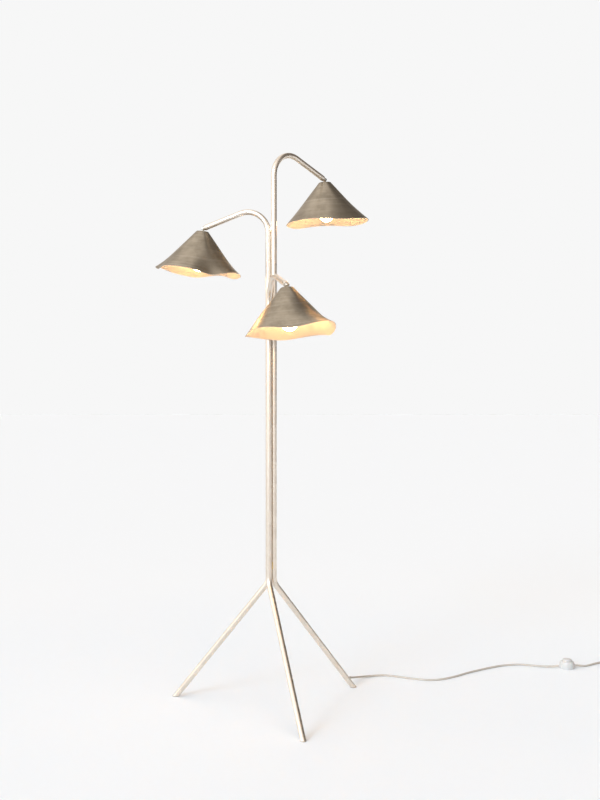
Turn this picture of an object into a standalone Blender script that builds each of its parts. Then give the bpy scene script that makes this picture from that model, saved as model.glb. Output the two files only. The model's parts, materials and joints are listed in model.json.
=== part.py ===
"""Tripod floor lamp with three conical shades, carried by three bent tubes.

Each tube stands on the floor as a splayed leg, bends upright at the hub, rises beside the other two and
bends over into an arm. A clevis knuckle in the end of each arm carries a shade, a lampholder and a lamp.
The cord leaves the leg of the tall stem and passes through a foot switch on its way to the plug.

Units are metres, +Z is up and the lamp stands on Z = 0.
"""

from dataclasses import dataclass
from math import asin, ceil, cos, degrees, hypot, pi, radians, sin, sqrt, tan

import bmesh
import bpy
from mathutils import Matrix, Quaternion, Vector

# Fits
GAP = 0.0003  # between pieces that touch
RUNNING = 0.0003  # round a pin or in a slot

# Tubes
TUBE_RADIUS = 0.008
TUBE_WALL = 0.0012
POST_CLEARANCE = 0.001  # between the posts
TUBE_SEGMENTS = 14
HUB_HEIGHT = 0.351  # where the lines of leg and post cross
HUB_BEND_RADIUS = 0.045
ARM_BEND_RADIUS = 0.065
ARM_STRAIGHT = 0.113
GLIDE_SOLE = 0.0017
GLIDE_STUB = 0.018

# Brazing between the posts
BRAZE_HEIGHTS = {"hub": HUB_HEIGHT + 0.049, "top": 1.08}
BRAZE_LENGTH = 0.022
BRAZE_GROOVE_ANGLE = 38.0  # how far it reaches round each tube
BRAZE_HOLLOW = 0.8  # how deep its concave face is, as a share of the tubes' touch

# Knuckle: pivot beyond the tube's end, ball-nosed fork, tongue with a hollow threaded nipple
PIVOT_OUT = 0.009
FORK_PLUG_LENGTH = 0.014
FORK_SHOULDER = 0.0017
FORK_SHOULDER_RADIUS = TUBE_RADIUS - 0.0004
FORK_NOSE_RADIUS = 0.0058
FORK_SLOT = 0.0052
FORK_FLAT = 0.0049  # half width across the seats of screw head and nut
FORK_BORE_RADIUS = 0.0026
SCREW_RADIUS = 0.002
SCREW_HEAD_RADIUS = 0.0035
SCREW_HEAD_HEIGHT = 0.0016
SCREW_SLOT = 0.0009
EYE_RADIUS = 0.005
NECK_HALF_WIDTH = 0.0026
LEAD_NOTCH_SLANT = 30.0
FLANGE_RADIUS = 0.007
FLANGE_THICKNESS = 0.0009
NIPPLE_RADIUS = 0.0047
NIPPLE_LENGTH = 0.0145
NIPPLE_BORE_RADIUS = 0.0022

# Shade, measured down its axis from the top plate
SHADE_BELOW_PIVOT = 0.0075
SHADE_TOP_RADIUS = 0.017
SHADE_RIM_RADIUS = 0.1195
SHADE_HEIGHT = 0.122
SHADE_THICKNESS = 0.0009
SHADE_EDGE = 0.0015  # rounding between plate and cone
SHADE_FLARE = 0.004
SHADE_FLARE_START = 0.45  # share of the height, from which the sheet leans out
SHADE_SHARES = (SHADE_FLARE_START, 0.68, 0.85, 1.0)  # heights of its rings
SHADE_SEGMENTS = 36
RING_NUT_RADIUS = 0.0085
RING_NUT_HEIGHT = 0.004

# Lampholder and lamp
HOLDER_RADIUS = 0.0135
HOLDER_WALL = 0.0015
HOLDER_LENGTH = 0.045
HOLDER_SHOULDER = 0.004
HOLDER_CHAMFER = 0.0027
BLOCK_DEPTH = 0.0135  # from the holder's top to its contact block
BLOCK_HEIGHT = 0.004
SOCKET_RADIUS = 0.0083
SOCKET_WALL = 0.0006
CAP_RADIUS = 0.007
CAP_LENGTH = 0.0255
CAP_THREAD = 0.0004
CAP_TURNS = 4
CAP_TIP_RADIUS = 0.0023
CAP_CROWN = 0.0032  # height of the slope from tip to thread
CAP_CROWN_RADIUS = 0.006
CAP_PLAIN = 0.2  # share of its length that has no thread
BULB_RADIUS = 0.0225
BULB_LENGTH = 0.066
BULB_NECK_RADIUS = 0.0115
BULB_NECK = ((-0.0032, 0.0), (0.0, 0.004), (0.0007, 0.011))  # (wider than the neck, depth below the cap)
BULB_NECK_BLEND = 12.0  # degrees of the ball that the neck's curve takes
BULB_STEPS = 6
BULB_WALL = 0.001
GLASS_SEGMENTS = 16

# Wiring inside the tubes
LEAD_RADIUS = 0.0014
LEAD_BEND_RADIUS = 0.0042
LINK_HOLE_RADIUS = 0.0024
LINK_HEIGHTS = {"left": HUB_HEIGHT + 0.089, "front": HUB_HEIGHT + 0.119}

# Gland on the tall stem's leg
GLAND_HEIGHT = 0.027
GLAND_TURN = 35.0  # degrees, from the leg's direction to the cord's
GLAND_DROP = 4.0
GLAND_RADIUS = 0.0042
GLAND_LENGTH = 0.034
GLAND_PARALLEL = 0.012

# Cord
CORD_RADIUS = 0.003
RELIEF_WALL = 0.0004  # at the tips of gland and plug relief
CORD_SPACING = 0.0165
COIL_CENTRE = (1.110, 0.452)
COIL_TURN_RADIUS = 0.030  # middle of the turns
COIL_HALF_WIDTH = 3 * CORD_RADIUS
COIL_HEIGHT = 4 * CORD_RADIUS
COIL_CORNER = 0.6 * CORD_RADIUS
TIE_THICKNESS = 0.0009
TIE_WIDTH = 0.006
TIE_ANGLE = -150.0

# Foot switch
SWITCH_CENTRE = (0.9475, 0.4275)
SWITCH_AZIMUTH = 8.0
SWITCH_RADIUS = 0.0235
SWITCH_HEIGHT = 0.024
SWITCH_SHOULDER = 0.007
SWITCH_CROWN = ((1.0, 1.0), (0.93, 0.4), (0.8, 0.0))  # (share of the radius, of the shoulder's height)
SWITCH_WALL = 0.0018
SWITCH_BASE = 0.0025
SPOUT_RADIUS = 0.0046
SPOUT_REACH = SWITCH_RADIUS + 0.004
SPOUT_CHAMFER = 0.001
SPOUT_HEIGHT = 0.0078
BUTTON_RADIUS = SWITCH_RADIUS - 0.009
BUTTON_TOP = 0.031
BUTTON_SKIRT = 0.0022
BUTTON_SKIRT_RADIUS = BUTTON_RADIUS + 0.002
BUTTON_ROOF = 0.0045
BUTTON_CROWN = ((1.0, 0.003), (0.9, 0.001), (0.6, 0.0))  # (share of the radius, depth below the top)
BUTTON_TRAVEL = 0.003
SPRING_RADIUS = 0.0045
SPRING_WIRE = 0.0005
SPRING_TURNS = 4
SPRING_SIDES = 5
SPRING_STEPS = 10  # points in a turn
BOSS_RADIUS = 1.5 * SPRING_RADIUS
BOSS_HEIGHT = 0.004
POST_RADIUS = 0.0032
POST_HEIGHT = 0.007
TERMINAL_NEAR = 0.009
TERMINAL_FAR = SWITCH_RADIUS - 0.0065
TERMINAL_HALF_WIDTH = 0.007
TERMINAL_HEIGHT = 0.006
TERMINAL_SLIT = 0.0021  # half the space between its two blocks

# Plug
PLUG_LENGTH = 0.036
PLUG_WIDTH = 0.035
PLUG_CORD_WIDTH = 0.012
PLUG_THICKNESS = 0.0136
PLUG_RELIEF = 0.022
PLUG_NECK = ((-1.0, 1.0), (-0.6, 1.3))  # (share of its half length, of the half width at the cord)
PLUG_SIDE = ((0.1, 1.0), (0.7, 1.0))  # (share of its half length, of its half width)
PLUG_EDGE = 0.0016
RELIEF_RADIUS = 0.0051
RELIEF_ROOT = 0.004
RELIEF_RISE = 6.0  # degrees, up to the coil's upper turns
PIN_RADIUS = 0.002
PIN_LENGTH = 0.019
PIN_SPACING = 0.0186
PIN_CHAMFER = 0.0008
PLUG_FACE = 0.002
FACE_HALF_WIDTH = 0.0136
FACE_HALF_HEIGHT = 0.0053

BORE_RADIUS = TUBE_RADIUS - TUBE_WALL
TUBE_SPACING = 2 * TUBE_RADIUS + POST_CLEARANCE
POST_OFFSET = TUBE_SPACING / (2 * cos(radians(30)))
PIVOT_HOLE_RADIUS = SCREW_RADIUS + RUNNING
HOLDER_TOP = -(SHADE_BELOW_PIVOT + SHADE_THICKNESS + 2 * GAP + RING_NUT_HEIGHT)
HOLDER_BOTTOM = HOLDER_TOP - HOLDER_LENGTH
RELIEF_TIP_RADIUS = CORD_RADIUS + RELIEF_WALL
COIL_BASE = TIE_THICKNESS + 2 * GAP


@dataclass(frozen=True)
class Stem:
    """One bent tube: angles in degrees, lengths in metres."""

    name: str
    post_angle: float  # where the post stands round the hub
    leg_azimuth: float
    leg_reach: float
    arm_azimuth: float
    top_height: float  # of the tube's centre line
    drop: float  # slope of the straight arm
    tilt: float  # of the shade, outwards
    roll: float  # of the knuckle about the arm
    waves: tuple  # of the shade's rim: (lobes, height, phase)


STEMS = (
    Stem("tall", 8, 40.4, 0.309, 43.5, 1.570, 21.5, 4.5, 0.0,
         ((2, 0.0025, 76), (3, 0.005, -13), (4, 0.002, 167), (5, 0.001, 100))),
    Stem("left", 128, 160.7, 0.291, 162.5, 1.4048, 18.0, 6.5, 0.0,
         ((2, 0.0035, 67), (4, 0.0085, -23), (7, 0.0025, -137))),
    Stem("front", -112, -72.1, 0.311, -74.8, 1.2085, 16.0, 6.0, 2.6,
         ((2, 0.0045, 51), (3, 0.004, -77), (4, 0.0075, 159))),
)

# Places that the loose cord passes, from the gland's tip to the switch and from the switch to the coil
CORD_TO_SWITCH = (
    (0.240, 0.236, 0.0200), (0.256, 0.270, 0.0120), (0.280, 0.300, 0.0060), (0.313, 0.321, 0.0032),
    (0.351, 0.326, 0.0031), (0.3927, 0.309, 0.0031), (0.428, 0.290, 0.0031), (0.464, 0.275, 0.0031),
    (0.4956, 0.272, 0.0031), (0.529, 0.284, 0.0031), (0.571, 0.315, 0.0031), (0.6156, 0.3576, 0.0031),
    (0.6598, 0.3936, 0.0031), (0.7045, 0.4266, 0.0031), (0.742, 0.4486, 0.0031), (0.784, 0.4605, 0.0031),
    (0.8175, 0.4590, 0.0031), (0.853, 0.4430, 0.0036), (0.884, 0.4290, 0.0055),
)
CORD_FROM_SWITCH = (
    (0.9925, 0.4360, 0.0060), (1.012, 0.4445, 0.0036), (1.034, 0.4610, 0.0031), (1.0555, 0.4780, 0.0034),
    (1.0720, 0.4860, 0.0041),
)


def clear_scene():
    """Remove the objects that the file opens with."""
    for item in list(bpy.data.objects):
        bpy.data.objects.remove(item, do_unlink=True)


def material(name, colour, roughness, metallic):
    """Return a Principled material."""
    finish = bpy.data.materials.new(name)
    finish.use_nodes = True
    shader = finish.node_tree.nodes["Principled BSDF"]
    shader.inputs["Base Color"].default_value = (*colour, 1.0)
    shader.inputs["Roughness"].default_value = roughness
    shader.inputs["Metallic"].default_value = metallic
    return finish


def make_materials():
    """Return the lamp's materials by name."""
    values = {
        "tube_metal": ((0.62, 0.55, 0.46), 0.30, 1.0),
        "shade_metal": ((0.42, 0.36, 0.29), 0.38, 1.0),
        "knuckle_metal": ((0.66, 0.60, 0.52), 0.25, 1.0),
        "brass": ((0.75, 0.58, 0.30), 0.30, 1.0),
        "steel": ((0.60, 0.60, 0.60), 0.35, 1.0),
        "holder_plastic": ((0.82, 0.80, 0.76), 0.45, 0.0),
        "opal_glass": ((1.0, 0.93, 0.80), 0.40, 0.0),
        "lead_sheath": ((0.80, 0.78, 0.74), 0.50, 0.0),
        "cord_sheath": ((0.78, 0.74, 0.68), 0.55, 0.0),
        "switch_plastic": ((0.90, 0.89, 0.87), 0.35, 0.0),
        "glide_plastic": ((0.12, 0.11, 0.10), 0.60, 0.0),
        "tie_plastic": ((0.20, 0.20, 0.20), 0.60, 0.0),
    }
    return {name: material(name, *value) for name, value in values.items()}


def place(item, parent, matrix=None):
    """Put an object under its parent at a local matrix."""
    item.parent = parent
    item.matrix_local = matrix or Matrix.Identity(4)
    return item


def empty(name, parent=None, matrix=None):
    """Add an empty that carries other objects."""
    item = bpy.data.objects.new(name, None)
    item.empty_display_size = 0.02
    bpy.context.collection.objects.link(item)
    return place(item, parent, matrix)


def solid(name, shape, finish, parent, matrix=None, smooth_angle=35):
    """Turn a bmesh into a named object with its outside facing out."""
    bmesh.ops.recalc_face_normals(shape, faces=shape.faces)
    mesh = bpy.data.meshes.new(name)
    shape.to_mesh(mesh)
    shape.free()
    mesh.materials.append(finish)
    mesh.shade_smooth()
    mesh.set_sharp_from_angle(angle=radians(smooth_angle))
    item = bpy.data.objects.new(name, mesh)
    bpy.context.collection.objects.link(item)
    return place(item, parent, matrix)


def cutter(name, shape, parent, matrix=None):
    """Add a tool for a Boolean, which isn't part of the lamp."""
    bmesh.ops.recalc_face_normals(shape, faces=shape.faces)
    mesh = bpy.data.meshes.new(name)
    shape.to_mesh(mesh)
    shape.free()
    item = bpy.data.objects.new(name, mesh)
    bpy.context.collection.objects.link(item)
    item.hide_render = True
    item.display_type = "WIRE"
    return place(item, parent, matrix)


def boolean(item, tool, operation="DIFFERENCE"):
    """Cut a tool from an object, or join it on."""
    step = item.modifiers.new(tool.name, "BOOLEAN")
    step.operation = operation
    step.solver = "EXACT"
    step.object = tool


def bridge(shape, lower, upper):
    """Join two rings of vertices; a ring of one vertex is a pole."""
    count = max(len(lower), len(upper))
    for i in range(count):
        j = (i + 1) % count
        below = [lower[i % len(lower)], lower[j % len(lower)]]
        above = [upper[j % len(upper)], upper[i % len(upper)]]
        shape.faces.new(list(dict.fromkeys(below + above)))


def turned(profile, segments=16, closed=False, outline=None, shape=None):
    """Revolve (radius, height) points about Z.

    A closed profile is a ring's section; an open one starts and ends on the axis, or is capped flat.
    An outline scales the radius by angle, for a shape that isn't round.
    """
    shape = shape or bmesh.new()
    rings = []
    for radius, height in profile:
        if radius < 1e-7:
            rings.append([shape.verts.new((0, 0, height))])
            continue
        ring = []
        for i in range(segments):
            angle = 2 * pi * i / segments
            reach = radius * (outline(angle) if outline else 1)
            ring.append(shape.verts.new((reach * cos(angle), reach * sin(angle), height)))
        rings.append(ring)
    for lower, upper in zip(rings, rings[1:]):
        bridge(shape, lower, upper)
    if closed:
        bridge(shape, rings[-1], rings[0])
    else:
        for ring in (rings[0], rings[-1]):
            if len(ring) > 1:
                shape.faces.new(ring)
    return shape


def hexagon(angle):
    """Distance to a hexagon's side over its corner distance."""
    return cos(pi / 6) / cos((angle + pi / 6) % (pi / 3) - pi / 6)


def hex_nut(across, hole, low, high):
    """Return a hexagonal nut with a round hole, along Z."""
    shape = bmesh.new()
    rings = []
    for radius, height, outline in ((across, low, hexagon), (across, high, hexagon), (hole, high, None),
                                    (hole, low, None)):
        ring = []
        for i in range(12):
            angle = 2 * pi * i / 12
            reach = radius * (outline(angle) if outline else 1)
            ring.append(shape.verts.new((reach * cos(angle), reach * sin(angle), height)))
        rings.append(ring)
    for lower, upper in zip(rings, rings[1:] + rings[:1]):
        bridge(shape, lower, upper)
    return shape


def box(low, high, shape=None):
    """Return a block between two corners."""
    shape = shape or bmesh.new()
    size = Vector(high) - Vector(low)
    centre = (Vector(high) + Vector(low)) / 2
    bmesh.ops.create_cube(shape, size=1, matrix=Matrix.Translation(centre) @ Matrix.Diagonal((*size, 1)))
    return shape


def extruded(outline, low, high, shape=None):
    """Return a prism of an outline in XY between two heights."""
    shape = shape or bmesh.new()
    lower = [shape.verts.new((x, y, low)) for x, y in outline]
    upper = [shape.verts.new((x, y, high)) for x, y in outline]
    bridge(shape, lower, upper)
    shape.faces.new(lower)
    shape.faces.new(upper)
    return shape


def turn(shape, matrix):
    """Move all of a bmesh."""
    bmesh.ops.transform(shape, matrix=matrix, verts=shape.verts)
    return shape


def rounded_path(corners, radii, step_degrees=15.0):
    """Return the points of a line with an arc of its own radius at each inner corner."""
    points = [corners[0]]
    for before, corner, after, radius in zip(corners, corners[1:], corners[2:], radii):
        arrive = (corner - before).normalized()
        leave = (after - corner).normalized()
        sweep = arrive.angle(leave)
        axis = arrive.cross(leave).normalized()
        start = corner - arrive * radius * tan(sweep / 2)
        centre = start + axis.cross(arrive) * radius
        count = max(2, ceil(degrees(sweep) / step_degrees))
        for i in range(count + 1):
            points.append(centre + Quaternion(axis, sweep * i / count) @ (start - centre))
    points.append(corners[-1])
    return points


def sweep_rings(shape, path, radii, segments, flat_height=None):
    """Carry a circle along a path, turning it no more than the path does.

    With a flat height the first circle is slid along the path's start onto that level plane.
    """
    rings = []
    tangents = [(b - a).normalized() for a, b in zip(path, path[1:])]
    normal = tangents[0].cross(Vector((0, 0, 1)))
    if normal.length < 1e-4:
        normal = tangents[0].cross(Vector((1, 0, 0)))
    normal.normalize()
    previous = tangents[0]
    for i, point in enumerate(path):
        tangent = (tangents[max(i - 1, 0)] + tangents[min(i, len(tangents) - 1)]).normalized()
        normal = previous.rotation_difference(tangent) @ normal
        previous = tangent
        side = tangent.cross(normal)
        ring = []
        for k in range(segments):
            angle = 2 * pi * k / segments
            spot = point + radii[i] * (cos(angle) * normal + sin(angle) * side)
            if i == 0 and flat_height is not None:
                spot = spot + tangent * ((flat_height - spot.z) / tangent.z)
            ring.append(shape.verts.new(spot))
        rings.append(ring)
    return rings


def rod(path, radius, segments=6):
    """Return a solid round bar along a path."""
    shape = bmesh.new()
    rings = sweep_rings(shape, path, [radius] * len(path), segments)
    for lower, upper in zip(rings, rings[1:]):
        bridge(shape, lower, upper)
    shape.faces.new(rings[0])
    shape.faces.new(rings[-1])
    return shape


def pipe(path, outer, inner, segments, flat_height=None):
    """Return a hollow tube along a path, open at both ends."""
    shape = bmesh.new()
    outside = sweep_rings(shape, path, [outer] * len(path), segments, flat_height)
    inside = sweep_rings(shape, path, [inner] * len(path), segments, flat_height)
    for rings in (outside, inside):
        for lower, upper in zip(rings, rings[1:]):
            bridge(shape, lower, upper)
    bridge(shape, outside[0], inside[0])
    bridge(shape, outside[-1], inside[-1])
    return shape


def direction(azimuth, elevation=0.0):
    """Return the unit vector of an azimuth and an elevation in degrees."""
    level = cos(radians(elevation))
    return Vector((level * cos(radians(azimuth)), level * sin(radians(azimuth)), sin(radians(elevation))))


def post_foot(stem):
    """Return where the post's axis meets the floor."""
    return POST_OFFSET * direction(stem.post_angle)


def stem_corners(stem):
    """Return the foot, the corners at hub and arm, and the arm's end, on the tube's centre line."""
    base = post_foot(stem)
    out = direction(stem.arm_azimuth, -stem.drop)
    bend = radians(90 + stem.drop)
    tangent_length = ARM_BEND_RADIUS * tan(bend / 2)
    corner_height = stem.top_height - ARM_BEND_RADIUS + tangent_length
    foot = base + stem.leg_reach * direction(stem.leg_azimuth)
    arm_corner = base + Vector((0, 0, corner_height))
    end = arm_corner + out * (tangent_length + ARM_STRAIGHT)
    return foot, base + Vector((0, 0, HUB_HEIGHT)), arm_corner, end


def leg_direction(stem):
    """Return the unit vector down the leg."""
    foot, hub, _, _ = stem_corners(stem)
    return (foot - hub).normalized()


def knuckle_matrix(stem):
    """Return the pivot's frame: X out along the arm, Y the hinge axis."""
    end = stem_corners(stem)[3]
    out = direction(stem.arm_azimuth, -stem.drop)
    azimuth = Matrix.Rotation(radians(stem.arm_azimuth), 4, "Z")
    slope = Matrix.Rotation(radians(stem.drop), 4, "Y")
    roll = Matrix.Rotation(radians(stem.roll), 4, "X")
    return Matrix.Translation(end + out * PIVOT_OUT) @ azimuth @ slope @ roll


def gland_matrix(stem):
    """Return the gland's frame: on the leg's centre line, Z out along the cord."""
    foot = stem_corners(stem)[0]
    down = leg_direction(stem)
    spot = foot - down * (GLAND_HEIGHT / -down.z)
    out = direction(stem.leg_azimuth + GLAND_TURN, -GLAND_DROP)
    return Matrix.Translation(spot) @ out.to_track_quat("Z", "Y").to_matrix().to_4x4()


def stem_tube(stem, root, finishes):
    """Make the bent tube and the glide that plugs its foot."""
    foot, hub, arm_corner, end = stem_corners(stem)
    path = rounded_path((foot, hub, arm_corner, end), (HUB_BEND_RADIUS, ARM_BEND_RADIUS))
    shape = pipe(path, TUBE_RADIUS, BORE_RADIUS, TUBE_SEGMENTS, GLIDE_SOLE + GAP)
    tube = solid(f"stem_{stem.name}", shape, finishes["tube_metal"], root)

    up = -leg_direction(stem)
    stub_radius = BORE_RADIUS - GAP
    shape = bmesh.new()
    bottom = sweep_rings(shape, (foot, foot + up), [TUBE_RADIUS] * 2, TUBE_SEGMENTS, 0.0)
    bmesh.ops.delete(shape, geom=bottom[1], context="VERTS")
    upper = []
    for radius in (TUBE_RADIUS, stub_radius):
        rings = sweep_rings(shape, (foot, foot + up * GLIDE_STUB), [radius] * 2, TUBE_SEGMENTS, GLIDE_SOLE)
        upper.append(rings[0])
        if radius == stub_radius:
            upper.append(rings[1])
        else:
            bmesh.ops.delete(shape, geom=rings[1], context="VERTS")
    rings = [bottom[0], *upper]
    for lower, higher in zip(rings, rings[1:]):
        bridge(shape, lower, higher)
    shape.faces.new(rings[0])
    shape.faces.new(rings[-1])
    solid(f"glide_{stem.name}", shape, finishes["glide_plastic"], root)
    return tube


def link_holes(tubes, root):
    """Drill the holes that pass the leads from the tall stem's post to the other two."""
    posts = {stem.name: post_foot(stem) for stem in STEMS}
    for name, height in LINK_HEIGHTS.items():
        across = posts[name] - posts["tall"]
        middle = (posts[name] + posts["tall"]) / 2 + Vector((0, 0, height))
        matrix = Matrix.Translation(middle) @ across.to_track_quat("Z", "Y").to_matrix().to_4x4()
        half = TUBE_SPACING / 2
        bit = turned(((LINK_HOLE_RADIUS, -half), (LINK_HOLE_RADIUS, half)), 12)
        drill = cutter(f"drill_{name}", bit, root, matrix)
        boolean(tubes["tall"], drill)
        boolean(tubes[name], drill)


def lead_path(stem):
    """Return the route of the lead in one stem, up to the mouth of its fork."""
    _, hub, arm_corner, end = stem_corners(stem)
    out = direction(stem.arm_azimuth, -stem.drop)
    mouth = end + out * (PIVOT_OUT - FORK_NOSE_RADIUS - 2 * GAP)
    if stem.name == "tall":
        start = gland_matrix(stem).translation - leg_direction(stem) * (2 * GLAND_RADIUS)
        return rounded_path((start, hub, arm_corner, mouth), (HUB_BEND_RADIUS, ARM_BEND_RADIUS), 20)
    base = post_foot(stem)
    tall = post_foot(STEMS[0])
    level = Vector((0, 0, LINK_HEIGHTS[stem.name]))
    start = tall + (base - tall).normalized() * (2 * LEAD_RADIUS + GAP) + level
    return rounded_path((start, base + level, arm_corner, mouth), (LEAD_BEND_RADIUS, ARM_BEND_RADIUS), 20)


def braze_fillets(root, finishes):
    """Make the braze that fills the space between the posts and their outer grooves."""
    touch = TUBE_RADIUS + GAP
    spread = radians(30 + BRAZE_GROOVE_ANGLE)
    steps = 10
    outline = []
    for stem in STEMS:
        facing = radians(stem.post_angle + 180)
        centre = post_foot(stem)
        for i in range(steps + 1):
            angle = facing + spread * (1 - 2 * i / steps)
            outline.append((centre.x + touch * cos(angle), centre.y + touch * sin(angle)))
        hollow = POST_OFFSET / 2 + BRAZE_HOLLOW * touch * sin(radians(BRAZE_GROOVE_ANGLE))
        groove = hollow * direction(stem.post_angle + 60)
        outline.append((groove.x, groove.y))
    for name, height in BRAZE_HEIGHTS.items():
        shape = extruded(outline, height - BRAZE_LENGTH / 2, height + BRAZE_LENGTH / 2)
        solid(f"braze_{name}", shape, finishes["brass"], root)


def fork(stem, mount, finishes):
    """Make the ball-nosed fork that plugs the arm's end; X runs out along the arm."""
    back = -(PIVOT_OUT + FORK_PLUG_LENGTH)
    seat = -PIVOT_OUT + GAP
    profile = [(BORE_RADIUS - GAP, back), (BORE_RADIUS - GAP, seat), (FORK_SHOULDER_RADIUS, seat),
               (FORK_SHOULDER_RADIUS, seat + FORK_SHOULDER), (FORK_NOSE_RADIUS, seat + FORK_SHOULDER)]
    for latitude in (0, 30, 60):
        profile.append((FORK_NOSE_RADIUS * cos(radians(latitude)), FORK_NOSE_RADIUS * sin(radians(latitude))))
    profile.append((0, FORK_NOSE_RADIUS))
    along_x = Matrix.Rotation(radians(90), 4, "Y")
    along_y = Matrix.Rotation(radians(-90), 4, "X")
    shape = turn(turned(profile, 16), along_x)
    body = solid(f"knuckle_fork_{stem.name}", shape, finishes["knuckle_metal"], mount)
    far = 2 * FORK_NOSE_RADIUS
    seat_radius = SCREW_HEAD_RADIUS + 2 * GAP
    spindle = turned(((seat_radius, -far), (seat_radius, -FORK_FLAT), (PIVOT_HOLE_RADIUS, -FORK_FLAT),
                      (PIVOT_HOLE_RADIUS, FORK_FLAT), (seat_radius, FORK_FLAT), (seat_radius, far)), 16)
    boolean(body, cutter(f"spindle_cut_{stem.name}", turn(spindle, along_y), mount))
    slot_root = seat + FORK_SHOULDER + GAP
    slot = box((slot_root, -FORK_SLOT / 2, -far), (far, FORK_SLOT / 2, far))
    boolean(body, cutter(f"slot_cut_{stem.name}", slot, mount))
    bore = turned(((FORK_BORE_RADIUS, 2 * back), (FORK_BORE_RADIUS, slot_root + GAP)), 12)
    boolean(body, cutter(f"bore_cut_{stem.name}", turn(bore, along_x), mount))


def pivot_fasteners(stem, mount, finishes):
    """Make the slotted screw that the shade tilts on, along Y, and its nut."""
    seat = FORK_FLAT + GAP
    nut_height = SCREW_HEAD_HEIGHT
    end = seat + nut_height + GAP
    along_y = Matrix.Rotation(radians(-90), 4, "X")
    top = seat + SCREW_HEAD_HEIGHT
    profile = ((SCREW_RADIUS, -end), (SCREW_RADIUS, seat), (SCREW_HEAD_RADIUS, seat),
               (SCREW_HEAD_RADIUS, top - SCREW_HEAD_HEIGHT / 3), (SCREW_HEAD_RADIUS * 0.86, top))
    screw = solid(f"pivot_screw_{stem.name}", turn(turned(profile, 16), along_y), finishes["steel"], mount)
    depth = SCREW_HEAD_HEIGHT / 2
    slot = box((-SCREW_HEAD_RADIUS * 1.2, top - depth, -SCREW_SLOT / 2),
               (SCREW_HEAD_RADIUS * 1.2, top + depth, SCREW_SLOT / 2))
    boolean(screw, cutter(f"screw_slot_cut_{stem.name}", slot, mount))
    nut = turn(hex_nut(SCREW_HEAD_RADIUS, PIVOT_HOLE_RADIUS, -seat - nut_height, -seat), along_y)
    solid(f"pivot_nut_{stem.name}", nut, finishes["steel"], mount)


def tongue(stem, head, finishes):
    """Make the tongue that turns in the fork, with the flange and hollow nipple under it."""
    flange_bottom = -SHADE_BELOW_PIVOT + GAP
    flange_top = flange_bottom + FLANGE_THICKNESS
    nipple_end = flange_bottom - NIPPLE_LENGTH
    profile = ((NIPPLE_RADIUS, nipple_end), (NIPPLE_RADIUS, flange_bottom), (FLANGE_RADIUS, flange_bottom),
               (FLANGE_RADIUS, flange_top))
    body = solid(f"knuckle_tongue_{stem.name}", turned(profile, 20), finishes["knuckle_metal"], head)
    neck_angle = asin(NECK_HALF_WIDTH / EYE_RADIUS)
    steps = 15
    foot = flange_bottom + FLANGE_THICKNESS / 2
    outline = [(-NECK_HALF_WIDTH, foot)]
    for k in range(steps + 1):
        angle = -pi + neck_angle + (2 * pi - 2 * neck_angle) * k / steps
        outline.append((EYE_RADIUS * sin(angle), EYE_RADIUS * cos(angle)))
    outline.append((NECK_HALF_WIDTH, foot))
    half = FORK_SLOT / 2 - RUNNING
    upright = Matrix.Rotation(radians(90), 4, "X")
    eye = cutter(f"eye_join_{stem.name}", turn(extruded(outline, -half, half), upright), head)
    boolean(body, eye, "UNION")
    far = 2 * half
    hole = turn(turned(((PIVOT_HOLE_RADIUS, -far), (PIVOT_HOLE_RADIUS, far)), 16), upright)
    boolean(body, cutter(f"eye_hole_cut_{stem.name}", hole, head))
    bore_top = flange_bottom - GAP
    bore = turned(((NIPPLE_BORE_RADIUS, nipple_end - NIPPLE_RADIUS), (NIPPLE_BORE_RADIUS, bore_top)), 12)
    boolean(body, cutter(f"nipple_bore_cut_{stem.name}", bore, head))
    lean = Matrix.Rotation(radians(-LEAD_NOTCH_SLANT), 4, "Y")
    slant = Matrix.Translation((-NIPPLE_BORE_RADIUS, 0, bore_top)) @ lean
    notch_radius = LEAD_RADIUS + GAP
    notch = turned(((notch_radius, -NIPPLE_RADIUS / 2), (notch_radius, NIPPLE_RADIUS)), 10)
    boolean(body, cutter(f"lead_notch_cut_{stem.name}", turn(notch, slant), head))


def rim_wave(stem, angle):
    """Return how far the rim leans out at an angle round the shade."""
    return sum(height * cos(lobes * angle - radians(phase)) for lobes, height, phase in stem.waves)


def shade_ring(stem, share, inset):
    """Return one ring of the cone: share runs from top to rim, inset goes in through the sheet."""
    slant = hypot(SHADE_RIM_RADIUS - SHADE_TOP_RADIUS, SHADE_HEIGHT)
    lean_out = SHADE_HEIGHT / slant
    lean_up = (SHADE_RIM_RADIUS - SHADE_TOP_RADIUS) / slant
    ease = max(0.0, (share - SHADE_FLARE_START) / (1 - SHADE_FLARE_START)) ** 2
    ring = []
    for i in range(SHADE_SEGMENTS):
        angle = 2 * pi * i / SHADE_SEGMENTS
        push = ease * (SHADE_FLARE + rim_wave(stem, angle)) - inset
        radius = SHADE_TOP_RADIUS + share * (SHADE_RIM_RADIUS - SHADE_TOP_RADIUS) + push * lean_out
        height = -SHADE_BELOW_PIVOT - share * SHADE_HEIGHT + push * lean_up
        ring.append((radius * cos(angle), radius * sin(angle), height))
    return ring


def flat_ring(radius, height):
    """Return a level circle with the shade's number of points."""
    steps = [2 * pi * i / SHADE_SEGMENTS for i in range(SHADE_SEGMENTS)]
    return [(radius * cos(angle), radius * sin(angle), height) for angle in steps]


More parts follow.
